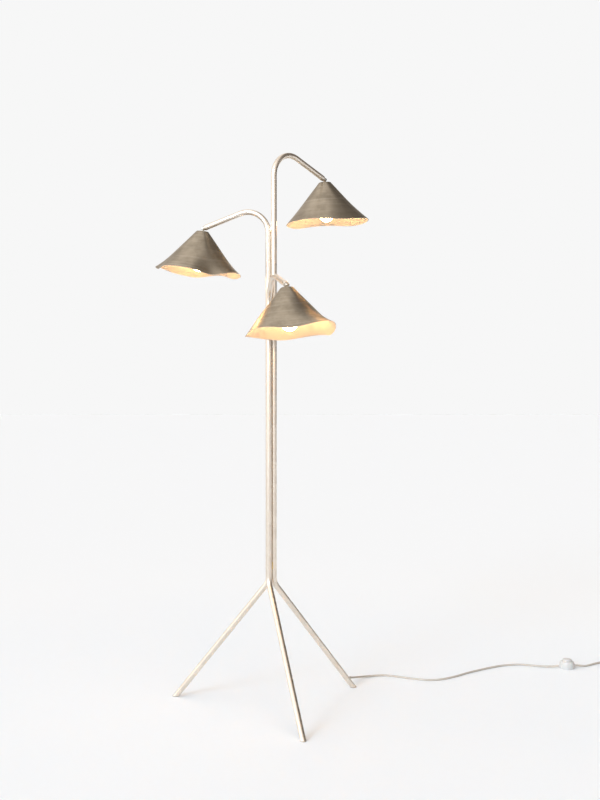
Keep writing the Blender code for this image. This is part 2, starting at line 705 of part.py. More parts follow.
def shade(stem, head, finishes):
    """Make the thin conical shade with its holed top plate and wavy rim."""
    hole = NIPPLE_RADIUS + GAP
    top = -SHADE_BELOW_PIVOT
    outside = [flat_ring(hole, top), flat_ring(SHADE_TOP_RADIUS - SHADE_EDGE, top)]
    outside += [shade_ring(stem, share, 0.0) for share in (SHADE_EDGE / SHADE_HEIGHT, *SHADE_SHARES)]
    inside = [shade_ring(stem, share, SHADE_THICKNESS) for share in reversed(SHADE_SHARES)]
    under = top - SHADE_THICKNESS
    inside += [flat_ring(SHADE_TOP_RADIUS - SHADE_EDGE, under), flat_ring(hole, under)]
    shape = bmesh.new()
    rings = [[shape.verts.new(spot) for spot in ring] for ring in outside + inside]
    for lower, upper in zip(rings, rings[1:] + rings[:1]):
        bridge(shape, lower, upper)
    solid(f"shade_{stem.name}", shape, finishes["shade_metal"], head, smooth_angle=50)
    nut_top = under - GAP
    nut = hex_nut(RING_NUT_RADIUS, hole, nut_top - RING_NUT_HEIGHT, nut_top)
    solid(f"shade_nut_{stem.name}", nut, finishes["brass"], head)


def lampholder(stem, head, finishes):
    """Make the lampholder's shell, contact block and threaded socket; return where the lamp's tip comes."""
    hole = NIPPLE_RADIUS + GAP
    inner = HOLDER_RADIUS - HOLDER_WALL
    neck = HOLDER_RADIUS - HOLDER_CHAMFER
    shoulder = HOLDER_TOP - HOLDER_SHOULDER
    ceiling = HOLDER_TOP - HOLDER_WALL
    outside = ((hole, HOLDER_TOP), (neck, HOLDER_TOP), (HOLDER_RADIUS, shoulder),
               (HOLDER_RADIUS, HOLDER_BOTTOM))
    inside = ((inner, HOLDER_BOTTOM), (inner, shoulder - HOLDER_WALL / 2), (neck - HOLDER_WALL / 2, ceiling),
              (hole, ceiling))
    shell = (*outside, *inside)
    solid(f"lampholder_{stem.name}", turned(shell, 20, closed=True), finishes["holder_plastic"], head)
    block_top = HOLDER_TOP - BLOCK_DEPTH
    block_bottom = block_top - BLOCK_HEIGHT
    stud = block_bottom - GAP - BULB_WALL
    block = ((0, stud), (CAP_TIP_RADIUS, stud), (CAP_TIP_RADIUS, block_bottom), (inner - GAP, block_bottom),
             (inner - GAP, block_top), (0, block_top))
    solid(f"contact_block_{stem.name}", turned(block, 16), finishes["holder_plastic"], head)
    socket_top = block_bottom - GAP
    socket_bottom = HOLDER_BOTTOM + 2 * HOLDER_WALL
    ring = ((SOCKET_RADIUS, socket_bottom), (SOCKET_RADIUS, socket_top),
            (SOCKET_RADIUS - SOCKET_WALL, socket_top), (SOCKET_RADIUS - SOCKET_WALL, socket_bottom))
    solid(f"socket_shell_{stem.name}", turned(ring, 16, closed=True), finishes["brass"], head)
    return stud - GAP


def lamp(stem, head, finishes, tip):
    """Make the ball lamp: its screw cap from the tip contact down, and the opal glass."""
    shoulder = tip - CAP_CROWN
    cap_bottom = tip - CAP_LENGTH
    profile = [(0, tip), (CAP_TIP_RADIUS, tip), (CAP_CROWN_RADIUS, shoulder)]
    pitch = (shoulder - cap_bottom) * (1 - CAP_PLAIN) / CAP_TURNS
    for k in range(CAP_TURNS):
        height = shoulder - (k + 0.5) * pitch
        profile += [(CAP_RADIUS, height), (CAP_RADIUS - CAP_THREAD, height - pitch / 2)]
    profile += [(CAP_RADIUS, cap_bottom), (0, cap_bottom)]
    solid(f"lamp_cap_{stem.name}", turned(profile, 12), finishes["brass"], head)

    top = cap_bottom - GAP
    centre = top - BULB_LENGTH + BULB_RADIUS
    start = asin(BULB_NECK_RADIUS / BULB_RADIUS) + radians(BULB_NECK_BLEND)

    def skin(inset):
        """Return the profile of the glass from its mouth down, at an inset."""
        reach = BULB_RADIUS - inset
        points = [(BULB_NECK_RADIUS + wider - inset, top - depth) for wider, depth in BULB_NECK]
        for k in range(BULB_STEPS):
            angle = start + (pi - start) * k / BULB_STEPS
            points.append((reach * sin(angle), centre + reach * cos(angle)))
        return [*points, (0, centre - reach)]

    outer = skin(0.0)
    inner = skin(BULB_WALL)
    shape = bmesh.new()
    turned_glass = [*outer, *reversed(inner)]
    rings = []
    for radius, height in turned_glass:
        count = 1 if radius < 1e-7 else GLASS_SEGMENTS
        turns = [2 * pi * i / GLASS_SEGMENTS for i in range(count)]
        rings.append([shape.verts.new((radius * cos(a), radius * sin(a), height)) for a in turns])
    pole = len(outer) - 1
    for index, (lower, upper) in enumerate(zip(rings, rings[1:] + rings[:1])):
        if index != pole:
            bridge(shape, lower, upper)
    solid(f"lamp_glass_{stem.name}", shape, finishes["opal_glass"], head, smooth_angle=60)


def head_lead(stem, head, finishes):
    """Make the lead from the nipple's bore to the contact block."""
    top = -SHADE_BELOW_PIVOT - 2 * GAP
    bottom = HOLDER_TOP - BLOCK_DEPTH + GAP
    solid(f"head_lead_{stem.name}", rod([Vector((0, 0, top)), Vector((0, 0, bottom))], LEAD_RADIUS, 8),
          finishes["lead_sheath"], head)


def gland(tube, root, finishes):
    """Drill the tall stem's leg and fit the tapered strain relief, along its own Z."""
    matrix = gland_matrix(STEMS[0])
    hole = GLAND_RADIUS + GAP
    drill = cutter("gland_drill", turned(((hole, 0), (hole, 3 * TUBE_RADIUS)), 16), root, matrix)
    boolean(tube, drill)
    profile = ((GLAND_RADIUS, 0), (GLAND_RADIUS, GLAND_PARALLEL), (RELIEF_TIP_RADIUS, GLAND_LENGTH))
    solid("cord_gland", turned(profile, 14), finishes["cord_sheath"], root, matrix)


def smooth_line(points, spacing):
    """Return points at about a spacing on a smooth curve through the given ones.

    Each span is a cubic whose slope at a point follows the line between its neighbours.
    """
    spots = [Vector(p) for p in points]
    line = [spots[0]]
    for i in range(len(spots) - 1):
        before = spots[max(i - 1, 0)]
        a, b = spots[i], spots[i + 1]
        after = spots[min(i + 2, len(spots) - 1)]
        length = (b - a).length
        leave = (b - before) * (length / max((b - a).length + (a - before).length, 1e-9))
        arrive = (after - a) * (length / max((after - b).length + (b - a).length, 1e-9))
        count = max(1, round(length / spacing))
        for k in range(1, count + 1):
            t = k / count
            line.append(a * (2 * t**3 - 3 * t**2 + 1) + leave * (t**3 - 2 * t**2 + t)
                        + b * (3 * t**2 - 2 * t**3) + arrive * (t**3 - t**2))
    return line


def cord_tube(name, route, root, finishes):
    """Make a stretch of the loose cord as a round tube along a smooth line."""
    curve = bpy.data.curves.new(name, "CURVE")
    curve.dimensions = "3D"
    curve.bevel_depth = CORD_RADIUS
    curve.bevel_resolution = 2
    curve.use_fill_caps = True
    curve.render_resolution_u = 0
    spline = curve.splines.new("POLY")
    spline.points.add(len(route) - 1)
    for point, spot in zip(spline.points, route):
        point.co = (*spot, 1.0)
    curve.materials.append(finishes["cord_sheath"])
    item = bpy.data.objects.new(name, curve)
    bpy.context.collection.objects.link(item)
    return place(item, root)


def coil_meet():
    """Return how far before its tangent point a straight cord meets the coil's outer face."""
    outer = COIL_TURN_RADIUS + COIL_HALF_WIDTH
    near_side = outer - CORD_RADIUS - RELIEF_TIP_RADIUS
    return sqrt(outer**2 - near_side**2) + GAP


def cord_routes():
    """Return the lines from gland to switch and from switch to coil."""
    gland_frame = gland_matrix(STEMS[0])
    along = gland_frame.to_3x3() @ Vector((0, 0, 1))
    tip = gland_frame.translation + along * (GLAND_LENGTH + GAP)
    switch = switch_matrix()
    straight = 2 * CORD_RADIUS
    entry = [switch @ Vector((-SPOUT_REACH - GAP - reach, 0, SPOUT_HEIGHT)) for reach in (straight, 0)]
    leaving = [switch @ Vector((SPOUT_REACH + GAP + reach, 0, SPOUT_HEIGHT)) for reach in (0, straight)]
    to_switch = smooth_line([tip, tip + along * straight, *CORD_TO_SWITCH, *entry], CORD_SPACING)
    turn_line = COIL_TURN_RADIUS + COIL_HALF_WIDTH - CORD_RADIUS
    end = Vector((COIL_CENTRE[0] - coil_meet(), COIL_CENTRE[1] + turn_line, COIL_BASE + CORD_RADIUS))
    to_coil = smooth_line([*leaving, *CORD_FROM_SWITCH, end], CORD_SPACING)
    return to_switch, to_coil


def coil_and_tie(root, finishes):
    """Make the outer shape of the coiled cord and the tie round its turns."""
    inner = COIL_TURN_RADIUS - COIL_HALF_WIDTH
    outer = COIL_TURN_RADIUS + COIL_HALF_WIDTH
    centre = Matrix.Translation((*COIL_CENTRE, COIL_BASE))
    low = COIL_CORNER
    high = COIL_HEIGHT - COIL_CORNER
    section = ((inner + COIL_CORNER, 0), (outer - COIL_CORNER, 0), (outer, low), (outer, high),
               (outer - COIL_CORNER, COIL_HEIGHT), (inner + COIL_CORNER, COIL_HEIGHT), (inner, high),
               (inner, low))
    solid("cord_coil", turned(section, 32, closed=True), finishes["cord_sheath"], root, centre)
    half = COIL_HALF_WIDTH + GAP
    shape = bmesh.new()
    loops = []
    for wall in (0, TIE_THICKNESS):
        reach = half + wall
        low = -GAP - wall
        high = COIL_HEIGHT + GAP + wall
        corners = ((-reach, low), (reach, low), (reach, high), (-reach, high))
        for side in (-TIE_WIDTH / 2, TIE_WIDTH / 2):
            loops.append([shape.verts.new((COIL_TURN_RADIUS + x, side, z)) for x, z in corners])
    for a, b in ((0, 1), (1, 3), (3, 2), (2, 0)):
        bridge(shape, loops[a], loops[b])
    solid("cord_tie", shape, finishes["tie_plastic"], root,
          centre @ Matrix.Rotation(radians(TIE_ANGLE), 4, "Z"))


def switch_matrix():
    """Return the foot switch's frame on the floor, X along the cord."""
    return Matrix.Translation((*SWITCH_CENTRE, 0)) @ Matrix.Rotation(radians(SWITCH_AZIMUTH), 4, "Z")


def foot_switch(root, finishes):
    """Make the round foot switch: base, cover, button, spring, contacts and screws."""
    frame = empty("switch_frame", root, switch_matrix())
    plastic = finishes["switch_plastic"]
    edge = SWITCH_BASE + GAP
    inner = SWITCH_RADIUS - SWITCH_WALL
    top_inner = SWITCH_HEIGHT - SWITCH_WALL
    hole = BUTTON_RADIUS + 2 * GAP
    crown = [(SWITCH_RADIUS * share, SWITCH_HEIGHT - SWITCH_SHOULDER * drop) for share, drop in SWITCH_CROWN]
    ceiling = [(inner * SWITCH_CROWN[-1][0], top_inner), (inner, top_inner - SWITCH_SHOULDER + SWITCH_WALL)]
    shell = ((SWITCH_RADIUS, edge), *crown, (hole, SWITCH_HEIGHT), (hole, top_inner), *ceiling, (inner, edge))
    cover = solid("switch_cover", turned(shell, 28, closed=True), plastic, frame)
    for side in (-1, 1):
        near = inner + SWITCH_WALL / 2
        spout = turned(((SPOUT_RADIUS, near), (SPOUT_RADIUS, SPOUT_REACH - SPOUT_CHAMFER),
                        (SPOUT_RADIUS - SPOUT_CHAMFER, SPOUT_REACH)), 12)
        turn(spout, Matrix.Translation((0, 0, SPOUT_HEIGHT)) @ Matrix.Rotation(radians(90 * side), 4, "Y"))
        boolean(cover, cutter(f"spout_join_{'in' if side < 0 else 'out'}", spout, frame), "UNION")

    boss = SWITCH_BASE + BOSS_HEIGHT
    post = boss + POST_HEIGHT
    plate = ((0, 0), (SWITCH_RADIUS, 0), (SWITCH_RADIUS, SWITCH_BASE), (BOSS_RADIUS, SWITCH_BASE),
             (BOSS_RADIUS, boss), (POST_RADIUS, boss), (POST_RADIUS, post), (0, post))
    solid("switch_base", turned(plate, 28), plastic, frame)

    skirt_top = top_inner - GAP
    skirt_low = skirt_top - BUTTON_SKIRT
    roof = BUTTON_TOP - BUTTON_ROOF
    socket = POST_RADIUS + 4 * GAP
    dome = [(BUTTON_RADIUS * share, BUTTON_TOP - depth) for share, depth in BUTTON_CROWN]
    button = ((0, roof), (socket, roof), (socket, skirt_low), (BUTTON_SKIRT_RADIUS, skirt_low),
              (BUTTON_SKIRT_RADIUS, skirt_top), (BUTTON_RADIUS, skirt_top), *dome, (0, BUTTON_TOP))
    solid("switch_button", turned(button, 24), plastic, frame)

    spring_low = boss + GAP + SPRING_WIRE
    spring_high = skirt_low - GAP - SPRING_WIRE
    steps = SPRING_STEPS * SPRING_TURNS
    coil_radius = SPRING_RADIUS + SPRING_WIRE
    path = []
    for k in range(steps + 1):
        angle = 2 * pi * SPRING_TURNS * k / steps
        height = spring_low + (spring_high - spring_low) * k / steps
        path.append(Vector((coil_radius * cos(angle), coil_radius * sin(angle), height)))
    solid("switch_spring", rod(path, SPRING_WIRE, SPRING_SIDES), finishes["steel"], frame, smooth_angle=80)

    low = SWITCH_BASE + GAP
    strip = box((TERMINAL_NEAR, -TERMINAL_HALF_WIDTH, low),
                (TERMINAL_FAR, TERMINAL_HALF_WIDTH, low + TERMINAL_HEIGHT / 2))
    terminals = solid("switch_terminals", strip, finishes["brass"], frame)
    for side in (-1, 1):
        outer = side * TERMINAL_HALF_WIDTH
        inner_edge = side * TERMINAL_SLIT
        block = box((TERMINAL_NEAR, min(outer, inner_edge), low + TERMINAL_HEIGHT / 4),
                    (TERMINAL_FAR, max(outer, inner_edge), low + TERMINAL_HEIGHT))
        boolean(terminals, cutter(f"terminal_join_{'a' if side < 0 else 'b'}", block, frame), "UNION")


def plug_matrix():
    """Return the plug's frame: flat on the floor where the cord leaves the coil, X towards its pins."""
    x = COIL_CENTRE[0] + coil_meet() + PLUG_RELIEF + PLUG_LENGTH / 2
    y = COIL_CENTRE[1] + COIL_TURN_RADIUS + COIL_HALF_WIDTH - CORD_RADIUS
    return Matrix.Translation((x, y, PLUG_THICKNESS / 2 + GAP))


def plug(root, finishes):
    """Make the flat two-pin plug with its tapered relief, and the face plate that holds the pins."""
    matrix = plug_matrix()
    half = PLUG_LENGTH / 2
    wide = PLUG_WIDTH / 2
    slim = PLUG_CORD_WIDTH / 2
    front = half - PLUG_FACE - GAP
    one_side = [(half * along, slim * share) for along, share in PLUG_NECK]
    one_side += [(half * along, wide * share) for along, share in PLUG_SIDE]
    one_side.append((front, FACE_HALF_WIDTH))
    outline = [*one_side, *((x, -y) for x, y in reversed(one_side))]
    body = solid("plug_body", extruded(outline, -PLUG_THICKNESS / 2, PLUG_THICKNESS / 2),
                 finishes["switch_plastic"], root, matrix)
    round_edge = body.modifiers.new("edges", "BEVEL")
    round_edge.width = PLUG_EDGE
    round_edge.segments = 2
    round_edge.limit_method = "ANGLE"
    relief = turned(((RELIEF_RADIUS, -RELIEF_ROOT), (RELIEF_RADIUS, RELIEF_ROOT / 2),
                     (RELIEF_TIP_RADIUS, PLUG_RELIEF)), 12)
    turn(relief, Matrix.Translation((-half, 0, 0)) @ Matrix.Rotation(radians(RELIEF_RISE - 90), 4, "Y"))
    boolean(body, cutter("relief_join", relief, root, matrix), "UNION")

    face = box((half - PLUG_FACE, -FACE_HALF_WIDTH, -FACE_HALF_HEIGHT),
               (half, FACE_HALF_WIDTH, FACE_HALF_HEIGHT))
    pins = solid("plug_pins", face, finishes["switch_plastic"], root, matrix)
    for side in (-1, 1):
        pin = turned(((PIN_RADIUS, half - PLUG_FACE / 2), (PIN_RADIUS, half + PIN_LENGTH - PIN_CHAMFER),
                      (PIN_RADIUS - PIN_CHAMFER, half + PIN_LENGTH)), 12)
        turn(pin, Matrix.Translation((0, side * PIN_SPACING / 2, 0)) @ Matrix.Rotation(radians(90), 4, "Y"))
        boolean(pins, cutter(f"pin_join_{'left' if side < 0 else 'right'}", pin, root, matrix), "UNION")


def centre_on_floor(root):
    """Move the lamp so that its own box, without the loose cord's pieces, stands centred on the origin."""
    loose = ("cord_", "coil_", "plug_", "switch_")
    bpy.context.view_layer.update()
    low = Vector((1e9, 1e9, 0))
    high = Vector((-1e9, -1e9, 0))
    graph = bpy.context.evaluated_depsgraph_get()
    for item in bpy.data.objects:
        if item.type != "MESH" or item.hide_render or item.name.startswith(loose):
            continue
        seen = item.evaluated_get(graph)
        for vertex in seen.data.vertices:
            spot = seen.matrix_world @ vertex.co
            for axis in (0, 1):
                low[axis] = min(low[axis], spot[axis])
                high[axis] = max(high[axis], spot[axis])
    root.location = (-(low.x + high.x) / 2, -(low.y + high.y) / 2, 0)


def build():
    """Make the whole lamp."""
    clear_scene()
    finishes = make_materials()
    root = empty("lamp")
    tubes = {}
    for stem in STEMS:
        tubes[stem.name] = stem_tube(stem, root, finishes)
        solid(f"lead_{stem.name}", rod(lead_path(stem), LEAD_RADIUS), finishes["lead_sheath"], root)
        mount = empty(f"knuckle_{stem.name}", root, knuckle_matrix(stem))
        fork(stem, mount, finishes)
        pivot_fasteners(stem, mount, finishes)
        hang = Matrix.Rotation(radians(-stem.drop - stem.tilt), 4, "Y")
        head = empty(f"head_{stem.name}", mount, hang)
        tongue(stem, head, finishes)
        shade(stem, head, finishes)
        tip = lampholder(stem, head, finishes)
        lamp(stem, head, finishes, tip)
        head_lead(stem, head, finishes)
    link_holes(tubes, root)
    braze_fillets(root, finishes)
    gland(tubes["tall"], root, finishes)
    to_switch, to_coil = cord_routes()
    cord_tube("cord_to_switch", to_switch, root, finishes)
    cord_tube("cord_to_coil", to_coil, root, finishes)
    coil_and_tie(root, finishes)
    foot_switch(root, finishes)
    plug(root, finishes)
    centre_on_floor(root)


build()
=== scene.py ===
"""Looks of a tripod floor lamp with three wavy-rimmed conical shades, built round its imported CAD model.

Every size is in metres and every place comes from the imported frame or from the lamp's driving dimensions.
Surfaces are arrays of points worked out with numpy: a profile turned about an axis, a circle carried along
a path, or a sheet that is a function of angle and slope.
"""

import json
import logging
from dataclasses import dataclass, field
from enum import Enum

import bmesh
import bpy
import numpy as np
from mathutils import Matrix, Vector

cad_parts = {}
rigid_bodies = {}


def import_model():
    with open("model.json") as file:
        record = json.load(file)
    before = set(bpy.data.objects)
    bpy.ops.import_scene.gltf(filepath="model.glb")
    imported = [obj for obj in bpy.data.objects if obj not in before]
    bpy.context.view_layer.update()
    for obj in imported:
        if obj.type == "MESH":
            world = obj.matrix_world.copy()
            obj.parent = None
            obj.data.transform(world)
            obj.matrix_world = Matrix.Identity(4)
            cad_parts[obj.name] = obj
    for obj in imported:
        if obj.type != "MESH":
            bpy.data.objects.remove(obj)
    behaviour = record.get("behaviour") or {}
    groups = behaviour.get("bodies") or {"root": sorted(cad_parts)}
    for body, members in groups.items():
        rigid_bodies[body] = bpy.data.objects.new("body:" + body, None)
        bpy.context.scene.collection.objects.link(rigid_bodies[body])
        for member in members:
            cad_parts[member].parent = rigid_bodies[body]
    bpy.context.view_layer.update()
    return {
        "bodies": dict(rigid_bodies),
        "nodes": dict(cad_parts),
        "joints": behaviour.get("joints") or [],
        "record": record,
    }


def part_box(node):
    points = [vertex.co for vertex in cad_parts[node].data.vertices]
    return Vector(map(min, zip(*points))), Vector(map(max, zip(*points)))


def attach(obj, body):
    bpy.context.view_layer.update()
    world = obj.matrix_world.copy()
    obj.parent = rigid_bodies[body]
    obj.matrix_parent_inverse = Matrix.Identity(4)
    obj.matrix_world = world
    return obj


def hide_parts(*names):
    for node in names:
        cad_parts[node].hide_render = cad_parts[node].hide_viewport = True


LOG = logging.getLogger("tripod_lamp")
Array = np.ndarray
IDENTITY = np.eye(4)
TAU = 2 * np.pi
MERGE = 2e-6


# ---------------------------------------------------------------- maths


def unit(vector: Array) -> Array:
    """Return vectors scaled to length one along their last axis."""
    return vector / np.maximum(np.linalg.norm(vector, axis=-1, keepdims=True), 1e-12)


def heading(azimuth: float, elevation: float = 0.0) -> Array:
    """Return the unit vector of an azimuth and an elevation in degrees."""
    turn, rise = np.radians((azimuth, elevation))
    return np.array((np.cos(rise) * np.cos(turn), np.cos(rise) * np.sin(turn), np.sin(rise)))


def placed(origin: Array, x: Array, y: Array, z: Array) -> Array:
    """Return the 4x4 matrix whose columns are three axes and an origin.

    Args:
        origin: where the frame stands.
        x: its first axis.
        y: its second axis.
        z: its third axis.

    Returns:
        The matrix that carries points from the frame to the world.
    """
    matrix = np.eye(4)
    matrix[:3, 0], matrix[:3, 1], matrix[:3, 2], matrix[:3, 3] = x, y, z, origin
    return matrix


def turned(axis: str, degrees: float, origin: tuple[float, float, float] = (0, 0, 0)) -> Array:
    """Return a rotation about an axis followed by a move.

    Args:
        axis: X, Y or Z.
        degrees: the angle.
        origin: where the frame's origin goes.

    Returns:
        The 4x4 matrix.
    """
    matrix = np.array(Matrix.Rotation(np.radians(degrees), 4, axis))
    matrix[:3, 3] = origin
    return matrix


def moved(points: Array, matrix: Array) -> Array:
    """Return points carried by a 4x4 matrix."""
    return points @ matrix[:3, :3].T + matrix[:3, 3]


def run_length(points: Array) -> Array:
    """Return the distance along a line of points, from its first point to each."""
    steps = np.linalg.norm(np.diff(points, axis=0), axis=1)
    return np.concatenate(([0.0], np.cumsum(steps)))


def rounded(corners: Array, radii: Array | float, steps: int = 6) -> Array:
    """Return a line of straight runs with a circular arc at each inner corner.

    An arc of radius r between unit directions a and b starts r tan(t/2) before the corner, where t is the
    angle between them, and its points are start + r sin(u) a + r (1 - cos(u)) n for u from 0 to t, where n is
    the unit part of b square to a. A corner of radius 0 stays sharp.

    Args:
        corners: the line's corners, in two or three dimensions.
        radii: the radius at each inner corner, or one for all of them.
        steps: the number of chords in an arc.

    Returns:
        The points of the rounded line.
    """
    corners = np.asarray(corners, float)
    radii = np.broadcast_to(radii, len(corners) - 2)
    parts = [corners[:1]]
    for before, corner, after, radius in zip(corners, corners[1:], corners[2:], radii):
        arrive, leave = unit(corner - before), unit(after - corner)
        turn = np.arccos(np.clip(arrive @ leave, -1, 1))
        if radius <= 0 or turn < 1e-6:
            parts.append(corner[None])
            continue
        room = 0.49 * min(np.linalg.norm(corner - before), np.linalg.norm(after - corner))
        reach = min(radius * np.tan(turn / 2), room)
        arc_radius = reach / np.tan(turn / 2)
        inward = unit(leave - (leave @ arrive) * arrive)
        angle = np.linspace(0, turn, steps + 1)[:, None]
        start = corner - arrive * reach
        parts.append(start + arc_radius * (np.sin(angle) * arrive + (1 - np.cos(angle)) * inward))
    parts.append(corners[-1:])
    return np.concatenate(parts)


def rounded_loop(corners: Array, radii: Array | float, steps: int = 4) -> Array:
    """Return a closed line with an arc at every corner, as rounded() makes it."""
    corners = np.asarray(corners, float)
    return rounded(np.vstack((corners[-1:], corners, corners[:1])), radii, steps)[1:-1]


def smooth_line(spots: Array, count: int = 6) -> Array:
    """Return points on a smooth curve through the given ones.

    Each span is a cubic in t from 0 to 1 whose end slopes follow the lines between the neighbours, scaled to
    the span's own length.

    Args:
        spots: the places that the curve passes.
        count: the number of points in each span.

    Returns:
        The curve's points, (spans x count + 1, 3).
    """
    span = np.diff(spots, axis=0)
    length = np.linalg.norm(span, axis=1, keepdims=True)
    middle = (spots[2:] - spots[:-2]) / (length[1:] + length[:-1])
    slope = np.vstack((span[:1] / length[:1], middle, span[-1:] / length[-1:]))
    t = (np.arange(count) / count)[None, :, None]
    start, end = spots[:-1, None], spots[1:, None]
    leave, arrive = (slope[:-1] * length)[:, None], (slope[1:] * length)[:, None]
    curve = (start * (2 * t**3 - 3 * t**2 + 1) + leave * (t**3 - 2 * t**2 + t)
             + end * (3 * t**2 - 2 * t**3) + arrive * (t**3 - t**2))
    return np.vstack((curve.reshape(-1, 3), spots[-1:]))


# ---------------------------------------------------------------- surfaces


@dataclass
class Patch:
    """A grid of points, with what its finish follows.

    grain holds the cosine and sine of the angle round the piece and the distance along it; wear is 1 on an
    edge that is rubbed bright and 0 away from it; lining is 1 on a face with a matt lining and 0 elsewhere.
    """

    points: Array
    grain: Array
    wear: Array | None = None
    lining: Array | None = None
    ring: bool = True
    loop: bool = False

    def faces(self, first: int) -> Array:
        """Return the grid's quads.

        Args:
            first: the index of the grid's first point in its mesh.

        Returns:
            Four indices for each quad.
        """
        rows, columns = self.points.shape[:2]
        i = np.arange(rows if self.loop else rows - 1)[:, None]
        j = np.arange(columns if self.ring else columns - 1)[None, :]
        below, beside = (i + 1) % rows, (j + 1) % columns
        corners = (i * columns + j, i * columns + beside, below * columns + beside, below * columns + j)
        return first + np.stack(np.broadcast_arrays(*corners), axis=-1).reshape(-1, 4)

    def shares(self, values: Array | None) -> Array:
        """Return values for each point, or zeros where there are none."""
        return np.zeros(self.points.shape[:2]) if values is None else values


def revolve(profile: Array, sides: int = 64, closed: bool = False) -> Patch:
    """Return a profile of (radius r, height z) turned about Z, with points (r cos a, r sin a, z).

    Args:
        profile: the profile's points; an open one starts and ends on the axis.
        sides: the number of points in a turn.
        closed: whether the profile is the section of a ring.

    Returns:
        The turned surface.
    """
    profile = np.asarray(profile, float)
    angle = np.linspace(0, TAU, sides, endpoint=False)
    radius, height = profile[:, :1], profile[:, 1:]
    along = run_length(profile)[:, None]
    level = np.broadcast_to(height, (len(profile), sides))
    points = np.stack((radius * np.cos(angle), radius * np.sin(angle), level), axis=-1)
    grain = np.stack(np.broadcast_arrays(np.cos(angle)[None], np.sin(angle)[None], along), axis=-1)
    return Patch(points, grain, loop=closed)


def sweep(path: Array, radius: Array | float, across: Array, sides: int = 32, capped: bool = True) -> Patch:
    """Return a circle carried along a path.

    With T the tangent, the ring's axes are S = unit(across x T) and T x S, so that it never twists; its
    points are path + radius (S cos a + (T x S) sin a).

    Args:
        path: the centre line.
        radius: the circle's radius at each point, or one for all.
        across: a direction that the path is never parallel to.
        sides: the number of points in a ring.
        capped: whether a point at each end closes it.

    Returns:
        The tube's surface.
    """
    chord = unit(np.diff(path, axis=0))
    tangent = unit(np.vstack((chord[:1], chord[1:] + chord[:-1], chord[-1:])))
    side = unit(np.cross(across, tangent))
    other = np.cross(tangent, side)
    angle = np.linspace(0, TAU, sides, endpoint=False)[None, :, None]
    reach = np.broadcast_to(radius, len(path))[:, None, None]
    points = path[:, None] + reach * (np.cos(angle) * side[:, None] + np.sin(angle) * other[:, None])
    along = run_length(path)[:, None]
    grain = np.stack(np.broadcast_arrays(np.cos(angle[..., 0]), np.sin(angle[..., 0]), along), axis=-1)
    if capped:
        ends = [np.broadcast_to(path[i], points[:1].shape) for i in (0, -1)]
        points = np.concatenate((ends[0], points, ends[1]))
        grain = np.concatenate((grain[:1], grain, grain[-1:]))
    return Patch(points, grain)


def prism(outline: Array, levels: Array, shares: Array | None = None) -> Patch:
    """Return an outline in XY carried up through levels and closed at both ends.

    At each level the points are middle + share (outline - middle).

    Args:
        outline: the outline's points, once round.
        levels: the heights.
        shares: the outline's size at each height.

    Returns:
        The closed surface.
    """
    shares = np.ones(len(levels)) if shares is None else np.asarray(shares)
    middle = outline.mean(axis=0)
    levels = np.concatenate((levels[:1], levels, levels[-1:]))
    shares = np.concatenate(([0.0], shares, [0.0]))[:, None, None]
    flat = middle + (outline - middle)[None] * shares
    points = np.concatenate((flat, np.broadcast_to(levels[:, None, None], (*flat.shape[:2], 1))), axis=-1)
    around = unit(outline - middle)[None]
    grain = np.concatenate((np.broadcast_to(around, flat.shape), points[..., 2:]), axis=-1)
    return Patch(points, grain)


def build_mesh(name: str, patches: list[Patch], matrix: Array = IDENTITY,
               crease: float = 40.0) -> bpy.types.Object:
    """Make one object of patches, with its place in its mesh.

    Args:
        name: the object's name.
        patches: its surfaces, in a frame of their own.
        matrix: where that frame stands.
        crease: the angle in degrees above which an edge stays sharp.

    Returns:
        The new object, at the origin.
    """
    sizes = [patch.points.shape[0] * patch.points.shape[1] for patch in patches]
    firsts = np.concatenate(([0], np.cumsum(sizes)[:-1]))
    points = moved(np.concatenate([patch.points.reshape(-1, 3) for patch in patches]), matrix)
    faces = np.concatenate([patch.faces(first) for patch, first in zip(patches, firsts)]).astype(np.int32)
    mesh = bpy.data.meshes.new(name)
    mesh.vertices.add(len(points))
    mesh.vertices.foreach_set("co", points.astype(np.float32).ravel())
    mesh.loops.add(faces.size)
    mesh.loops.foreach_set("vertex_index", faces.ravel())
    mesh.polygons.add(len(faces))
    mesh.polygons.foreach_set("loop_start", np.arange(0, faces.size, 4, dtype=np.int32))
    mesh.update(calc_edges=True)
    grain = np.concatenate([patch.grain.reshape(-1, 3) for patch in patches])
    mesh.attributes.new("grain", "FLOAT_VECTOR", "POINT").data.foreach_set("vector", grain.ravel())
    for key in ("wear", "lining"):
        shares = np.concatenate([patch.shares(getattr(patch, key)).ravel() for patch in patches])
        mesh.attributes.new(key, "FLOAT", "POINT").data.foreach_set("value", shares)
    tidy_mesh(mesh, crease)
    item = bpy.data.objects.new(name, mesh)
    bpy.context.collection.objects.link(item)
    return item


def tidy_mesh(mesh: bpy.types.Mesh, crease: float) -> None:
    """Close seams and poles, point the faces outwards and shade the mesh smooth up to an angle.

    Args:
        mesh: the mesh that is changed.
        crease: the angle in degrees above which an edge stays sharp.
    """
    work = bmesh.new()
    work.from_mesh(mesh)
    bmesh.ops.remove_doubles(work, verts=work.verts, dist=MERGE)
    bmesh.ops.dissolve_degenerate(work, dist=MERGE / 2, edges=work.edges)
    bmesh.ops.recalc_face_normals(work, faces=work.faces)
    work.to_mesh(mesh)
    work.free()
    mesh.shade_smooth()
    mesh.set_sharp_from_angle(angle=np.radians(crease))


class Cut(Enum):
    """What a tool does to a piece."""

    AWAY = "DIFFERENCE"
    ON = "UNION"


